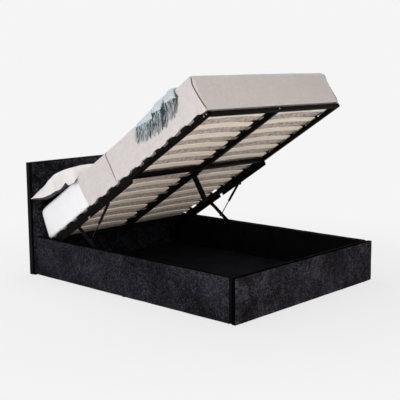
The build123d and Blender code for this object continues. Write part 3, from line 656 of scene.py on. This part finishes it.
# The sheet: its looseness, and how far its elastic reaches under the mattress
SHEET_GROW, TUCKED_UNDER = 2.0, 44
# It is bare at the head end and loose there, from this place along the bed and this height
BARE_Y, BARE_Z, LOOSE_SWELL, LOOSE_MM, LOOSE_OUT = (-590, -530), (60, 120), 2.5, 170, 0.4


def mattress():
    """The mattress: its ticking shows between the slats, and is a little uneven there."""
    points, faces = bed_net(0, MATTRESS_STEPS)
    shape = bed_form(points, 0, BED_LOW, LOW_EDGE)
    under = (points[:, 2] < BED_LOW + ON_FACE) & (np.abs(points[:, 0]) < HALF - UNDER_INSET)
    shape[:, 2] += np.where(under, UNDER_SWELL * ripple(points, UNDER_MM, seed=4) + PRESSED_IN, 0)
    piece = build("mattress_ticking", shape, faces, [TICKING], lift=True)
    smooth(piece)
    settle(piece, "platform", "mattress_ticking", "mattress")


def fitted_sheet():
    """The fitted sheet. Its elastic draws it in under the mattress."""
    half, long_half = HALF - TUCKED_UNDER, END - MIDDLE - TUCKED_UNDER

    def keep(middle):
        inside = abs(middle[0]) < half and abs(middle[1] + MIDDLE) < long_half
        return not (inside and middle[2] < BED_LOW)

    points, faces = bed_net(SHEET_GROW, SHEET_STEPS, keep)
    shape = bed_form(points, SHEET_GROW, BED_LOW - SHEET_GROW, LOW_EDGE)
    bare = ramp(shape[:, 1], *BARE_Y) * ramp(shape[:, 2], *BARE_Z)
    loose = LOOSE_SWELL * (ripple(shape, LOOSE_MM, seed=3) + LOOSE_OUT) * bare
    shape = shape + facing(shape, faces) * loose[:, None]
    piece = build("fitted_sheet_cotton", shape, faces, [COTTON], lift=True)
    smooth(piece)
    settle(piece, "platform", "sheet_cotton", "fitted_sheet")


COVER_START, COVER_SEAM, COVER_GROW, COVER_CORNER, COVER_THICK = 580, 975, 7.3, 18, 2.2
COVER_SIDE, COVER_END, COVER_TOP = HALF + COVER_GROW, END + COVER_GROW, BED_TOP + COVER_GROW
# Its steps, and where they are closer: beside its seam, at its foot corners and over its top edge
COVER_STEPS, BESIDE_SEAM = (48, 13, 13), (-10, -4, 0, 4, 10)
AT_CORNER, AT_EDGE = (0.1, 0.25, 0.45, 0.7, 1.0, 1.2), (0.1, 0.3, 0.6, 1.0)
# Its swells on the upright sides and on top, and the furrow of its cross seam
SIDE_SWELL, TOP_SWELL, SWELL_MM, FURROW_DEEP, FURROW_HALF = 2.5, 1.5, 220, 2.5, 6
# Places of the slat holders along the platform, in its head half and its foot half
HOLDERS = [132 + 148 * i for i in range(7)] + [1172 + 142 * i for i in range(6)]
# The cover is caught on each holder: over what half width, how much that varies, and how it eases
CAUGHT_HALF, CAUGHT_VARIES, CAUGHT_EASE = 42, 16, 13
# The noise of its unevenness, its sway and its foot folds: its size each way, then where it is read
UNEVEN, SWAY = ((400, 130, np.inf), (0, 0, 8.1)), ((90, 42, np.inf), (0, 0, 3.3))
FOLDS = ((55, np.inf, 400), (0, 4.0, 0))
# How far it is drawn in there, sways between them, and folds at its foot
CAUGHT_IN, SWAY_IN, FOOT_FOLDS = 4.0, 3.5, 2.2
# How far its hem is caught up on the left and on the right, how that varies, and how it sways
HEM_LOW, HEM_UP_LEFT, HEM_UP_RIGHT, HEM_VARIES, HEM_SWAY = 9, 14.0, 7.0, 0.8, 6.0
# How far the foot end stands up, how much more at its right, and how much the top's sides drop
FOOT_UP, FOOT_UP_RIGHT, SIDES_DOWN = 11, 3, 3
# From where each of these begins to where it is full: in height, along the bed, across it
CAUGHT_Z, FOLDS_Z, HEM_Z, TOP_Z = (78, 8), (20, 80), (52, 8), (180, 260)
FOOT_UP_ALONG, SIDES_DOWN_ALONG, SIDES_DOWN_X = (1780, 1980), (1300, 1100), (650, 730)
# Its head edge slants: how far at the sheet's foot, over what length, and the height where it ends
SLANT, SLANT_EASE, SLANT_HEIGHT = 16, 40, 250
# Up to this height, its hem goes down between the rails and inside the foot panel of the closed bed
HEM_IN_BASE, HEM_HALF, HEM_END, HEM_FREE, HEM_EASE = 32, 755.8, 1995.2, 12, 16
NUDGE = 0.01


def bed_cover():
    """The cover: seamed across, over the foot, let down on both sides and caught on the holders."""
    seam_cuts = [cut - COVER_SEAM for cut in BESIDE_SEAM]
    corner_cuts = [CORNER * share - COVER_END for share in AT_CORNER]
    edge_cuts = [COVER_TOP - TOP_EDGE * share for share in AT_EDGE]
    xs = cuts(-COVER_SIDE, COVER_SIDE, COVER_STEPS[0], CORNER + COVER_GROW)
    ys = cuts(-COVER_END, -COVER_START, COVER_STEPS[1], 0, seam_cuts + corner_cuts)
    zs = cuts(HEM_LOW, COVER_TOP, COVER_STEPS[2], 0, edge_cuts)

    def keep(middle):
        return middle[2] > HEM_LOW + NUDGE and middle[1] < -COVER_START - NUDGE

    points, faces = box_skin(xs, ys, zs, keep)
    px, py, pz = points.T
    shape = bed_form(points, COVER_GROW, HEM_LOW, 0, COVER_CORNER)
    out = facing(shape, faces)
    on_side, on_foot = np.abs(px) > COVER_SIDE - ON_FACE, py < ON_FACE - COVER_END
    upright = on_side | on_foot
    swell = np.where(upright, SIDE_SWELL, TOP_SWELL) * ripple(shape, SWELL_MM, seed=5) + ~upright
    swell -= FURROW_DEEP * np.exp(-(((py + COVER_SEAM) / FURROW_HALF) ** 2))
    near = np.min([np.abs(-py - holder) for holder in HOLDERS], axis=0)
    uneven, sway, folds = (streaks(points, *measures) for measures in (UNEVEN, SWAY, FOLDS))
    caught = ramp(CAUGHT_HALF + CAUGHT_VARIES * uneven - near, 0, CAUGHT_EASE)
    caught = caught * caught * (3 - 2 * caught)
    swell -= np.where(on_side, ramp(pz, *CAUGHT_Z) * (CAUGHT_IN * caught + SWAY_IN * sway), 0)
    swell += np.where(on_foot & ~on_side, FOOT_FOLDS * folds * ramp(pz, *FOLDS_Z), 0)
    shape = shape + out * swell[:, None]
    caught_up = np.where(px < 0, HEM_UP_LEFT, HEM_UP_RIGHT) * (1 + HEM_VARIES * uneven) * caught
    shape[:, 2] += np.where(on_side, ramp(pz, *HEM_Z) * (caught_up + HEM_SWAY * sway), 0)
    foot_up = ramp(-py, *FOOT_UP_ALONG) * (FOOT_UP + FOOT_UP_RIGHT * px / HALF)
    sides_down = SIDES_DOWN * ramp(-py, *SIDES_DOWN_ALONG) * ramp(np.abs(px), *SIDES_DOWN_X)
    shape[:, 2] += (foot_up - sides_down) * ramp(pz, *TOP_Z)
    at_start = ramp(py, -COVER_START - SLANT_EASE, -COVER_START)
    shape[:, 1] -= SLANT * at_start * (1 - pz / SLANT_HEIGHT)
    free = HEM_FREE * ramp(shape[:, 2], HEM_IN_BASE, HEM_IN_BASE + HEM_EASE)
    shape[:, 0] = np.clip(shape[:, 0], -HEM_HALF - free, HEM_HALF + free)
    shape[:, 1] = np.maximum(shape[:, 1], -HEM_END - free)
    piece = build("bed_cover_cotton", shape, faces, [COVER, COVER_BACK_PAINTED_SHADE], lift=True)
    # Its inner shell takes the dark copy of the cloth, which is painted shade
    made = piece.modifiers.new("cloth", "SOLIDIFY")
    made.thickness, made.offset, made.material_offset = COVER_THICK * MM, -1, 1
    smooth(piece)
    settle(piece, "platform", "cover_cloth", "bed_cover")
    return piece


mattress()
fitted_sheet()
cover = bed_cover()

bpy.context.view_layer.update()
COVER_SKIN = BVHTree.FromObject(cover, bpy.context.evaluated_depsgraph_get())
LOWER = RAISE.inverted()


def on_cover(x, along, up, proud):
    """The nearest spot of the cover's outside to this one, and this far proud of it."""
    spot, way, _, _ = COVER_SKIN.find_nearest(RAISE @ Vector((x * MM, -along * MM, up * MM)))
    spot = LOWER @ (spot + way * proud * MM)
    return spot / MM


# Each seam's radius, how far its middle stands proud of the cover, or is sunk where the hem goes down
# inside the base, and how many sides it has. The dark cords are drawn wide, so that they are partly dark
# thread and partly painted shade of the seams' furrows
CROSS_SEAM, CROSS_PROUD, CORNER_SEAM, CORNER_PROUD, HEM_PROUD = 2.6, 0.9, 3.4, 1.2, -0.8
HEM_TO, SEAM_SIDES = HEM_IN_BASE + 4, 6
# The cross seam on a side: where it starts, its steps up, round the top edge, and over half the top
SEAM_LOW, SEAM_RISE, SEAM_RISES, SEAM_TURNS, SEAM_TOPS = 20, 12, 18, 8, 28
# The corner seam's highest point, where it ends, its step, and how far outside the cover it is aimed
CORNER_TOP, CORNER_LOW, CORNER_STEP, CORNER_AIM = 268, 9, 4, 3
# Where it lies at each height: how far round the corner it is, either way
CORNER_LINE = ((10, 22), (25, 16), (60, 4), (100, -8), (160, -16), (205, -18), (245, -6), (262, 4))


def cover_seams():
    """Run seams of the cover, lying in their own furrows: one across it, one down each foot corner."""
    top, side_x, bend = COVER_TOP + CROWN, COVER_SIDE + BULGE, TOP_EDGE + COVER_GROW
    rise = [(side_x, SEAM_LOW + SEAM_RISE * i) for i in range(SEAM_RISES)]
    for i in range(SEAM_TURNS + 1):
        turn = math.pi / 2 * i / SEAM_TURNS
        rise.append((side_x - bend * (1 - math.cos(turn)), top - bend * (1 - math.sin(turn))))
    rise += [((side_x - bend) * (1 - i / SEAM_TOPS), top) for i in range(1, SEAM_TOPS)]
    across = [(-x, COVER_SEAM, up) for x, up in rise]
    across += [(x, COVER_SEAM, up) for x, up in rise[::-1]]

    def line(seam, proud):
        return [on_cover(*spot, proud if spot[2] > HEM_TO else HEM_PROUD) for spot in seam]

    def tapered(share):
        """Thinner towards both ends."""
        return min(1, 0.4 + 8 * min(share, 1 - share))

    parts = [tube(line(across, CROSS_PROUD), CROSS_SEAM, SEAM_SIDES, tapered)]
    for side in (-1, 1):
        corner = []
        for up in range(CORNER_TOP, CORNER_LOW, -CORNER_STEP):
            turned = at(CORNER_LINE, up)
            x = COVER_SIDE - max(turned, 0) + CORNER_AIM
            along = COVER_END + min(turned, 0) + CORNER_AIM
            corner.append((side * x, along, up))
        parts.append(tube(line(corner, CORNER_PROUD), CORNER_SEAM, SEAM_SIDES, tapered))
    points, faces, _ = merged(parts)
    piece = build("cover_seams", points, faces, [SEAM_AND_SHADE], lift=True)
    settle(piece, "platform", "cover_cloth")


cover_seams()

# Throw. Its tables go by place along the bed's top. From its edge down, it hangs nearly plumb

THROW_START, THROW_END, THROW_ROWS, THROW_THICK = 1380, 1816, 120, 3.0
THROW_SIDE, THROW_TOP, THROW_BEND = COVER_SIDE + 4, COVER_TOP + 0.5, TOP_EDGE + COVER_GROW - 2
HANG_FROM = THROW_TOP - 8
HEM = ((1380, 240), (1405, 237), (1578, 208), (1588, 233), (1645, 220), (1722, 211), (1737, 224))
HEM += ((1790, 212), (1816, 206))
# How far the throw stands off the cover: a flat fold, then two rolls
FOLD_RISE = ((1380, 0), (1440, 3), (1520, 6), (1575, 10), (1590, 15), (1620, 22), (1660, 22), (1724, 16))
FOLD_RISE += ((1740, 19), (1768, 25), (1795, 21), (1816, 8))
FRINGE_LENGTH = ((1380, 110), (1450, 133), (1578, 128), (1605, 158), (1650, 155), (1690, 140))
FRINGE_LENGTH += ((1745, 146), (1785, 128), (1816, 112))
# Creases beside the rolls: place, its drift per millimetre down, half width, and how that opens.
# Then how steep their sides are
CREASES = ((1587, 0.0, 4, 0.1), (1725, -0.35, 5, 0.5), (1816, 0.0, 0.5, 0.3))
CREASE_STEEP = 2
# How far it leans back for each millimetre down. Its last edge leans on towards the foot
HANG = ((1380, 0.6), (1735, 0.6), (1816, -0.34))
# Rows of points up each side, round its edge and over half of the top
SIDE_ROWS, SIDE_ROW, BEND_ROWS, TOP_ROWS = 8, 7.5, 10, 24
# It lies at least this far off the cover, waves by this share of its rise, and flattens to the middle
THROW_OFF, WAVE_SHARE, WAVE_X, WAVE_ALONG, MIDDLE_FLAT = 2.0, 0.25, 130, 45, 0.35
# Points nearer than this are one
SAME_SPOT = 0.02


def girth():
    """Half of the way round the bed's top, from below the hem to the middle, with its outward way."""
    low = THROW_TOP - THROW_BEND - SIDE_ROW * SIDE_ROWS
    path = [(THROW_SIDE, low + SIDE_ROW * i, 1, 0) for i in range(SIDE_ROWS)]
    for i in range(BEND_ROWS + 1):
        turn = math.pi / 2 * i / BEND_ROWS
        x = THROW_SIDE - THROW_BEND * (1 - math.cos(turn))
        z = THROW_TOP - THROW_BEND * (1 - math.sin(turn))
        path.append((x, z, math.cos(turn), math.sin(turn)))
    flat = THROW_SIDE - THROW_BEND
    for i in range(1, TOP_ROWS + 1):
        x = flat * (1 - i / TOP_ROWS)
        rise = min((flat - x) / (CROWN_INSET - TOP_EDGE), 1)
        path.append((x, THROW_TOP + (CROWN + 0.5) * rise * (2 - rise), 0, 1))
    return path


def creased(along, z):
    """How deep in a crease between the folds this place is, from 0 to 1."""
    down = max(HANG_FROM - z, 0)
    deepest = 0
    for place, drift, half, opens in CREASES:
        share = 1 - abs(along - place - drift * down) / (half + opens * down)
        deepest = max(deepest, CREASE_STEEP * share)
    return min(deepest, 1)


def throw_spot(x, z, nx, nz, side, along):
    """Where the throw lies over this place of the girth."""
    rise = at(FOLD_RISE, along) * (1 - creased(along, z))
    wave = noise.noise(Vector((x * side / WAVE_X, along / WAVE_ALONG, 1.1))) * WAVE_SHARE * rise
    off = max(THROW_OFF + rise * (1 - MIDDLE_FLAT * (1 - x / HALF)) + wave, THROW_OFF)
    hung = at(HANG, along) * max(HANG_FROM - z, 0)
    return (side * (x + nx * off), hung - along, z + nz * off)


def throw():
    """A light knitted throw, laid across the bed in three soft folds."""
    step = (THROW_END - THROW_START) / THROW_ROWS
    alongs = [THROW_START + step * i for i in range(THROW_ROWS + 1)]
    half_path = girth()
    rows = []
    for along in alongs:
        hem_z = at(HEM, along)
        side_path = half_path[: SIDE_ROWS + BEND_ROWS + 1]
        hem_row = max(i for i, spot in enumerate(side_path) if spot[1] <= hem_z)
        last, first = np.array(half_path[hem_row]), np.array(half_path[hem_row + 1])
        hem = last + (first - last) * (hem_z - last[1]) / (first[1] - last[1])
        path = [hem if i <= hem_row else spot for i, spot in enumerate(half_path)]
        left, right = ([throw_spot(*spot, side, along) for spot in path] for side in (-1, 1))
        rows.append(left + right[::-1][1:])
    count = len(rows[0])
    points = [spot for row in rows for spot in row]
    faces, crease_shaded = [], []
    for i in range(THROW_ROWS):
        for j in range(count - 1):
            ring = [i * count + j, i * count + j + 1, (i + 1) * count + j + 1, (i + 1) * count + j]
            a, b, c, d = (points[n] for n in ring)
            if math.dist(a, b) + math.dist(c, d) > SAME_SPOT:
                faces.append(ring)
                # Faces deep in a crease take the dark knit, as painted shade
                crease_shaded.append(creased(alongs[i] + 2, a[2]) > 0.5)
    piece = build("throw_knit", points, faces, [THROW, THROW_CREASE_SHADE], crease_shaded, lift=True)
    piece.modifiers.new("weld", "WELD").merge_threshold = SAME_SPOT * MM
    made = piece.modifiers.new("cloth", "SOLIDIFY")
    made.thickness, made.offset = THROW_THICK * MM, 0
    return piece


# Yarn of the fringe, from least to most: radius, gap, share of the table's length, how much
# further out than YARN_CLEAR it hangs, and how much it waves
YARN_RADIUS, YARN_GAP, YARN_LENGTH = (1.3, 2.6), (2.2, 4.4), (0.78, 1.05)
YARN_OUT, YARN_WAVE, YARN_SIDES, YARN_STEPS = (0, 5), (2, 7), 5, 12
# How far clear of the throw it is, how much it curls, and how it waves and curls down its length
YARN_CLEAR, YARN_CURL, WAVE_TURN, CURL_TURN = 3, 2, 9, 11
# The share of strands that are dark, in a crease, where the extra dark strands are painted shade, and
# elsewhere
SHADE_DARK_IN_CREASE, DARK_ELSEWHERE = 0.85, 0.4
# Strands lean together in tufts: how far at their tips, and how wide a tuft is along the hem
TUFT_LEAN, TUFT_MM = 9, 7.5


def knotted(share):
    """A strand's thickness from its knot at the hem to its tip."""
    return 1.3 if share < 0.12 else 1 - 0.5 * share


def fringe(name, side):
    """Knotted strands on one hem. They hang plumb, as they do while the bed stands open."""
    strands, dark = [], []
    plumb = Vector((0, math.sin(TILT), -math.cos(TILT)))
    along = THROW_START + 2
    while along < THROW_END - 2:
        hem_z = at(HEM, along)
        turn = math.asin(min(max((hem_z - THROW_TOP + THROW_BEND) / THROW_BEND, 0), 1))
        x = THROW_SIDE - THROW_BEND * (1 - math.cos(turn))
        first = Vector(throw_spot(x, hem_z, math.cos(turn), math.sin(turn), side, along))
        out = side * (THROW_SIDE + YARN_CLEAR + draw.uniform(*YARN_OUT))
        length = at(FRINGE_LENGTH, along) * draw.uniform(*YARN_LENGTH)
        share_dark = SHADE_DARK_IN_CREASE if creased(along, hem_z) > 0.1 else DARK_ELSEWHERE
        dark.append(draw.random() < share_dark)
        wave, sway = draw.uniform(*YARN_WAVE), draw.uniform(0, 6)
        tuft = TUFT_LEAN * math.sin(along / TUFT_MM)
        path = []
        for i in range(YARN_STEPS + 1):
            share = i / YARN_STEPS
            spot = first + plumb * (length * share)
            curl = side * YARN_CURL * math.sin(share * CURL_TURN + sway)
            spot.x = first.x + (out - first.x) * min(share * 3, 1) + curl
            spot.y += (wave * math.sin(share * WAVE_TURN + sway) + tuft * share) * min(share * 2, 1)
            path.append(spot)
        radius = draw.uniform(*YARN_RADIUS)
        strands.append(tube(path, radius, YARN_SIDES, knotted))
        along += draw.uniform(*YARN_GAP)
    points, faces, which = merged(strands)
    return build(name, points, faces, [YARN_LIGHT, YARN_DARK_AND_SHADE], [dark[n] for n in which], lift=True)


cloth_piece = throw()
fringes = [fringe("left_fringe_yarn", -1), fringe("right_fringe_yarn", 1)]
for strands in fringes:
    settle(strands, "platform", "throw_wool", "throw_fringe")
settle(cloth_piece, "platform", "throw_wool", "throw")

# Pillows

PILLOW_LONG, PILLOW_WIDE, PILLOW_THICK = 760, 500, 158
PILLOW_START, PILLOW_X, UNDER_SHARE = 98, 480, 0.08
PILLOW_REST = BED_TOP + SHEET_GROW + CROWN + 1
CASE_ROWS, CASE_COLUMNS, CASE_STEPS, PIPING_RADIUS = 38, 56, 30, 2.6
# How far open the flat case stands before it is blown up, how steeply from its seam, and how many
# times it is relaxed after
CASE_OPEN, CASE_OPEN_SLOPE, RELAX_ROUNDS = 14, 60, 6
# By place along the bed: how far the pillow leans up on the headboard, how much of its thickness
# is left in the outer end, and how far that end, hanging past the mattress, droops
LEAN = ((98, 90), (130, 82), (178, 60), (237, 28), (302, 12), (400, 0))
END_FULLNESS = ((98, 0.2), (180, 0.32), (225, 0.64), (270, 0.88), (330, 0.96), (400, 0.96), (500, 1))
END_FULLNESS += ((600, 0.95),)
END_DROOP = ((98, 30), (180, 34), (237, 36), (300, 42), (440, 42), (500, 26), (519, 12), (533, 54))
END_DROOP += ((598, 46),)
# Shares of its half length where the outer part begins, and where the hanging end does
OUTER_FROM, HANGING_FROM = 0.2, 0.7
# Powers of its section above and below the seam, where less than 1 is fuller
FULL_ABOVE, FULL_BELOW = 0.82, 0.7
# How far the hanging end bellies down, and how far the outer part is drawn in at its two corners
BELLY, DRAWN_FOOT, DRAWN_HEAD = 0.4, 60, 16
# Where each of these begins and is full, and where the pillow's foot edge comes down on the sheet
BELLY_ALONG, DRAWN_FOOT_ALONG, DRAWN_HEAD_ALONG = (430, 280), (200, 600), (190, 110)
EDGE_ALONG = (500, 590)
# How much of the lean the inner part has, and the creases: height, size and rise from the seam
INNER_LEAN, CREASE_HIGH, CREASE_MM, CREASE_RISE = 0.7, 4, 150, 3
# Powers that ease in a change of form and the droop, and how far out the pillow lies on the sheet
EASED, DROOP_EASED, OVER_SHEET = 1.5, 1.2, HALF - 4


def pillow_case():
    """A flat two-sided case, blown up as cloth so that its seams pucker and its corners point."""
    nx, ny = CASE_COLUMNS, CASE_ROWS
    numbers, points, faces = {}, [], []
    for level in (1, -1):
        for j in range(ny + 1):
            for i in range(nx + 1):
                x, y = i / nx * 2 - 1, j / ny * 2 - 1
                edge = min(1 - abs(x), 1 - abs(y))
                key = (level if edge > TINY else 0, i, j)
                if key not in numbers:
                    numbers[key] = len(points)
                    open_by = min(edge * CASE_OPEN_SLOPE, CASE_OPEN)
                    points.append((x * PILLOW_LONG / 2, y * PILLOW_WIDE / 2, level * open_by))
    for level in (1, -1):
        for j in range(ny):
            for i in range(nx):
                ring = [(i, j), (i + 1, j), (i + 1, j + 1), (i, j + 1)]
                ring = [numbers.get((level, *spot), numbers.get((0, *spot))) for spot in ring]
                faces.append(ring if level > 0 else ring[::-1])
    rim = [(i, 0) for i in range(nx)] + [(nx, j) for j in range(ny)]
    rim += [(i, ny) for i in range(nx, 0, -1)] + [(0, j) for j in range(ny, 0, -1)]
    rim = [numbers[(0, *spot)] for spot in rim]
    piece = build("case", points, faces, [])
    soft = piece.modifiers.new("air", "CLOTH").settings
    soft.quality, soft.mass = 6, 0.25
    soft.tension_stiffness, soft.compression_stiffness = 25, 25
    soft.shear_stiffness, soft.bending_stiffness = 8, 0.35
    soft.use_pressure, soft.uniform_pressure_force = True, 7.0
    soft.effector_weights.gravity = 0
    for step in range(1, CASE_STEPS + 1):
        bpy.context.scene.frame_set(step)
    blown = bpy.data.meshes.new_from_object(piece.evaluated_get(bpy.context.evaluated_depsgraph_get()))
    bpy.data.objects.remove(piece)
    bpy.context.scene.frame_set(1)
    return np.array([v.co[:] for v in blown.vertices]) / MM, faces, rim


def relaxed(points, faces, rim):
    """The case without its sharpest puckers: each point nearer the middle of its neighbours."""
    corners = np.array(faces)
    for _ in range(RELAX_ROUNDS):
        sums, count = np.zeros_like(points), np.zeros(len(points))
        for n in range(4):
            for step in (1, 3):
                np.add.at(sums, corners[:, n], points[corners[:, (n + step) % 4]])
                np.add.at(count, corners[:, n], 1)
        line = points[rim]
        points = (points + sums / count[:, None]) / 2
        points[rim] = line / 2 + (np.roll(line, 1, 0) + np.roll(line, -1, 0)) / 4
    return points


def pillow(name, side, node_name):
    """A full pillow on the sheet: flattened below, leaning on the headboard, its end hanging over."""
    _, faces, rim = CASE
    points = relaxed(*CASE)
    if side > 0:
        points[:, 0] *= -1
        faces = [ring[::-1] for ring in faces]
    size = points.max(axis=0) - points.min(axis=0)
    points /= size
    x, y, z = 2 * points.T
    along = PILLOW_START + PILLOW_WIDE * (1 - y) / 2
    outer, over = ramp(x * side, OUTER_FROM, 1), ramp(x * side, HANGING_FROM, 1)
    full = 1 - (1 - at(END_FULLNESS, along)) * outer**EASED
    high = PILLOW_THICK * (1 - UNDER_SHARE) * np.maximum(z, 0) ** FULL_ABOVE * full
    belly = BELLY * over * ramp(along, *BELLY_ALONG)
    low = PILLOW_THICK * (UNDER_SHARE + belly) * np.maximum(-z, 0) ** FULL_BELOW
    drawn_in = DRAWN_FOOT * outer**2 * ramp(along, *DRAWN_FOOT_ALONG) ** EASED
    drawn_in += DRAWN_HEAD * over * ramp(along, *DRAWN_HEAD_ALONG)
    across = x * PILLOW_LONG / 2 + side * (PILLOW_X - drawn_in)
    rest = PILLOW_REST + PILLOW_THICK * UNDER_SHARE * (1 - ramp(along, *EDGE_ALONG) ** EASED)
    droop = at(END_DROOP, along) * over**DROOP_EASED
    rest += at(LEAN, along) * (INNER_LEAN + (1 - INNER_LEAN) * outer) - droop
    creases = CREASE_HIGH * ripple(points * size, CREASE_MM, seed=2 * side) * np.clip(z * CREASE_RISE, 0, 1)
    up = rest + high - low + creases
    up = np.where(np.abs(across) < OVER_SHEET, np.maximum(up, PILLOW_REST), up)
    shape = np.column_stack([across, -along, up])
    # Faces below the seam take the slate underside, which is also painted shade
    below = [n >= len(faces) // 2 for n in range(len(faces))]
    piece = build(name, shape, faces, [PILLOW, PILLOW_BACK_AND_SHADE], below, lift=True)
    crease = piece.data.attributes.new("crease_edge", "FLOAT", "EDGE")
    on_rim = set(rim)
    for edge in piece.data.edges:
        crease.data[edge.index].value = float(on_rim.issuperset(edge.vertices))
    smooth(piece)
    settle(piece, "platform", "pillow_cotton", node_name)
    cord, rings = tube([shape[n] for n in rim], PIPING_RADIUS, SEAM_SIDES, loop=True)
    settle(build(f"{name}_piping", cord, rings, [PIPING], lift=True), "platform", "pillow_cotton")


CASE = pillow_case()
pillow("left_pillow_case", -1, "left_pillow")
pillow("right_pillow_case", 1, "right_pillow")

# Bolts of the frame's foot end. Rings of a domed head: radius and height, from its socket outwards

BOLT_RINGS = ((1.6, 3.0), (1.8, 4.6), (3.6, 4.0), (5.2, 2.4), (5.8, 0.4), (5.8, -0.4))
BOLT_SIDES, BOLT_UP, BOLT_BACK_AREA = 18, -12, 20 * MM * MM
BAR_FACE, TUBE_FACE, TUBE_BOLTS = 1988.2, 743.2, (1946, 1972)


def bolt_heads():
    """Domed bolt heads on the foot bar and on the outer face of each side tube."""
    seats = [((0, BAR_FACE, BOLT_UP), (0, -1, 0))]
    for side in (-1, 1):
        seats += [((side * TUBE_FACE, along, BOLT_UP), (side, 0, 0)) for along in TUBE_BOLTS]
    parts = []
    for (x, along, up), way in seats:
        way = Vector(way)
        one, two = Vector((0, 0, 1)), way.cross(Vector((0, 0, 1)))
        points, faces = [], []
        for radius, height in BOLT_RINGS:
            for n in range(BOLT_SIDES):
                turn = 2 * math.pi * n / BOLT_SIDES
                spot = Vector((x, -along, up)) + way * height
                points.append(spot + (one * math.cos(turn) + two * math.sin(turn)) * radius)
        last = (len(BOLT_RINGS) - 1) * BOLT_SIDES
        for low in range(0, last, BOLT_SIDES):
            for n in range(BOLT_SIDES):
                m, over = (n + 1) % BOLT_SIDES, low + BOLT_SIDES
                faces.append([low + n, over + n, over + m, low + m])
        faces.append(list(range(BOLT_SIDES)))
        faces.append([last + n for n in range(BOLT_SIDES)][::-1])
        parts.append((points, faces))
    points, faces, _ = merged(parts)
    piece = build("foot_end_bolts", points, faces, [ZINC], lift=True)
    for face in piece.data.polygons:
        face.use_smooth = face.area < BOLT_BACK_AREA
    settle(piece, "platform", "zinc_steel")


bolt_heads()

# Room

# The sky's light on the object. The floor's own glow has this share beside the object, and is full
# further out, in metres
SKY, FLOOR_GLOW, GLOW_FROM, GLOW_FULL = 0.42, 0.82, 1.3, 3.2
# How far the floor reaches, in millimetres
FLOOR_REACH = 90000
# Each lamp: place, what it points at and size in metres, then power in watts and colour
LAMPS = (
    ("window_side", (-6.5, -0.6, 1.6), (0, 0, 0.6), (4.5, 2.6), 182, "#ffffff"),
    ("low_front", (-1.2, -4.8, 0.3), (0.2, 0, 0.8), (4.0, 0.5), 99, "#fff4e8"),
    ("overhead", (0.2, 1.5, 4.6), (0, 0.9, 0.4), (3.0, 3.0), 105, "#ffffff"),
)


def room():
    """Pale floor and sky of one colour, and soft lamps."""
    scene = bpy.context.scene
    scene.view_settings.view_transform = "Standard"
    world = bpy.data.worlds.new("studio")
    world.use_nodes = True
    scene.world = world
    tree = world.node_tree
    tree.nodes.clear()
    rays = add(tree, "LightPath").outputs
    seen = add(tree, "Math", {0: rays["Is Camera Ray"], 1: rays["Is Glossy Ray"]}, operation="MAXIMUM")
    seen = add(tree, "Math", {0: seen, 1: rays["Is Transmission Ray"]}, operation="MAXIMUM")
    backdrop = add(tree, "Background", {"Color": linear("#f5f5f5"), "Strength": 1.0})
    sky = add(tree, "Background", {"Color": linear("#f6f7fa"), "Strength": SKY})
    blend = add(tree, "MixShader", {0: seen, 1: sky, 2: backdrop})
    add(tree, "OutputWorld", {"Surface": blend})

    paint = finish("floor_paint", {"Base Color": linear("#e6e6e6"), "Roughness": 0.95})
    tree = paint.node_tree
    place = add(tree, "TexCoord").outputs["Object"]
    far = add(tree, "VectorMath", {0: place}, operation="LENGTH").outputs["Value"]
    fade = {"Value": far, "From Min": GLOW_FROM, "From Max": GLOW_FULL, "To Min": FLOOR_GLOW, "To Max": 1.0}
    fade = add(tree, "MapRange", fade, interpolation_type="SMOOTHSTEP")
    glow = add(tree, "Emission", {"Color": linear("#f5f5f5"), "Strength": 1.0})
    rays = add(tree, "LightPath").outputs
    share = add(tree, "Math", {0: fade, 1: rays["Is Camera Ray"]}, operation="MULTIPLY")
    blend = add(tree, "MixShader", {0: share, 1: tree.nodes["Principled BSDF"], 2: glow})
    feed(tree, tree.nodes["Material Output"].inputs["Surface"], blend)
    corners = [(x * FLOOR_REACH, y * FLOOR_REACH, 0) for x, y in ((-1, -1), (1, -1), (1, 1), (-1, 1))]
    build("floor", corners, [[0, 1, 2, 3]], [paint])

    for name, spot, aim, size, power, colour in LAMPS:
        data = bpy.data.lights.new(name, "AREA")
        data.shape, data.size, data.size_y, data.energy = "RECTANGLE", *size, power
        data.color = linear(colour)[:3]
        lamp = bpy.data.objects.new(name, data)
        lamp.location = spot
        lamp.rotation_euler = (Vector(aim) - Vector(spot)).to_track_quat("-Z", "Y").to_euler()
        lamp.visible_camera = False
        scene.collection.objects.link(lamp)


room()
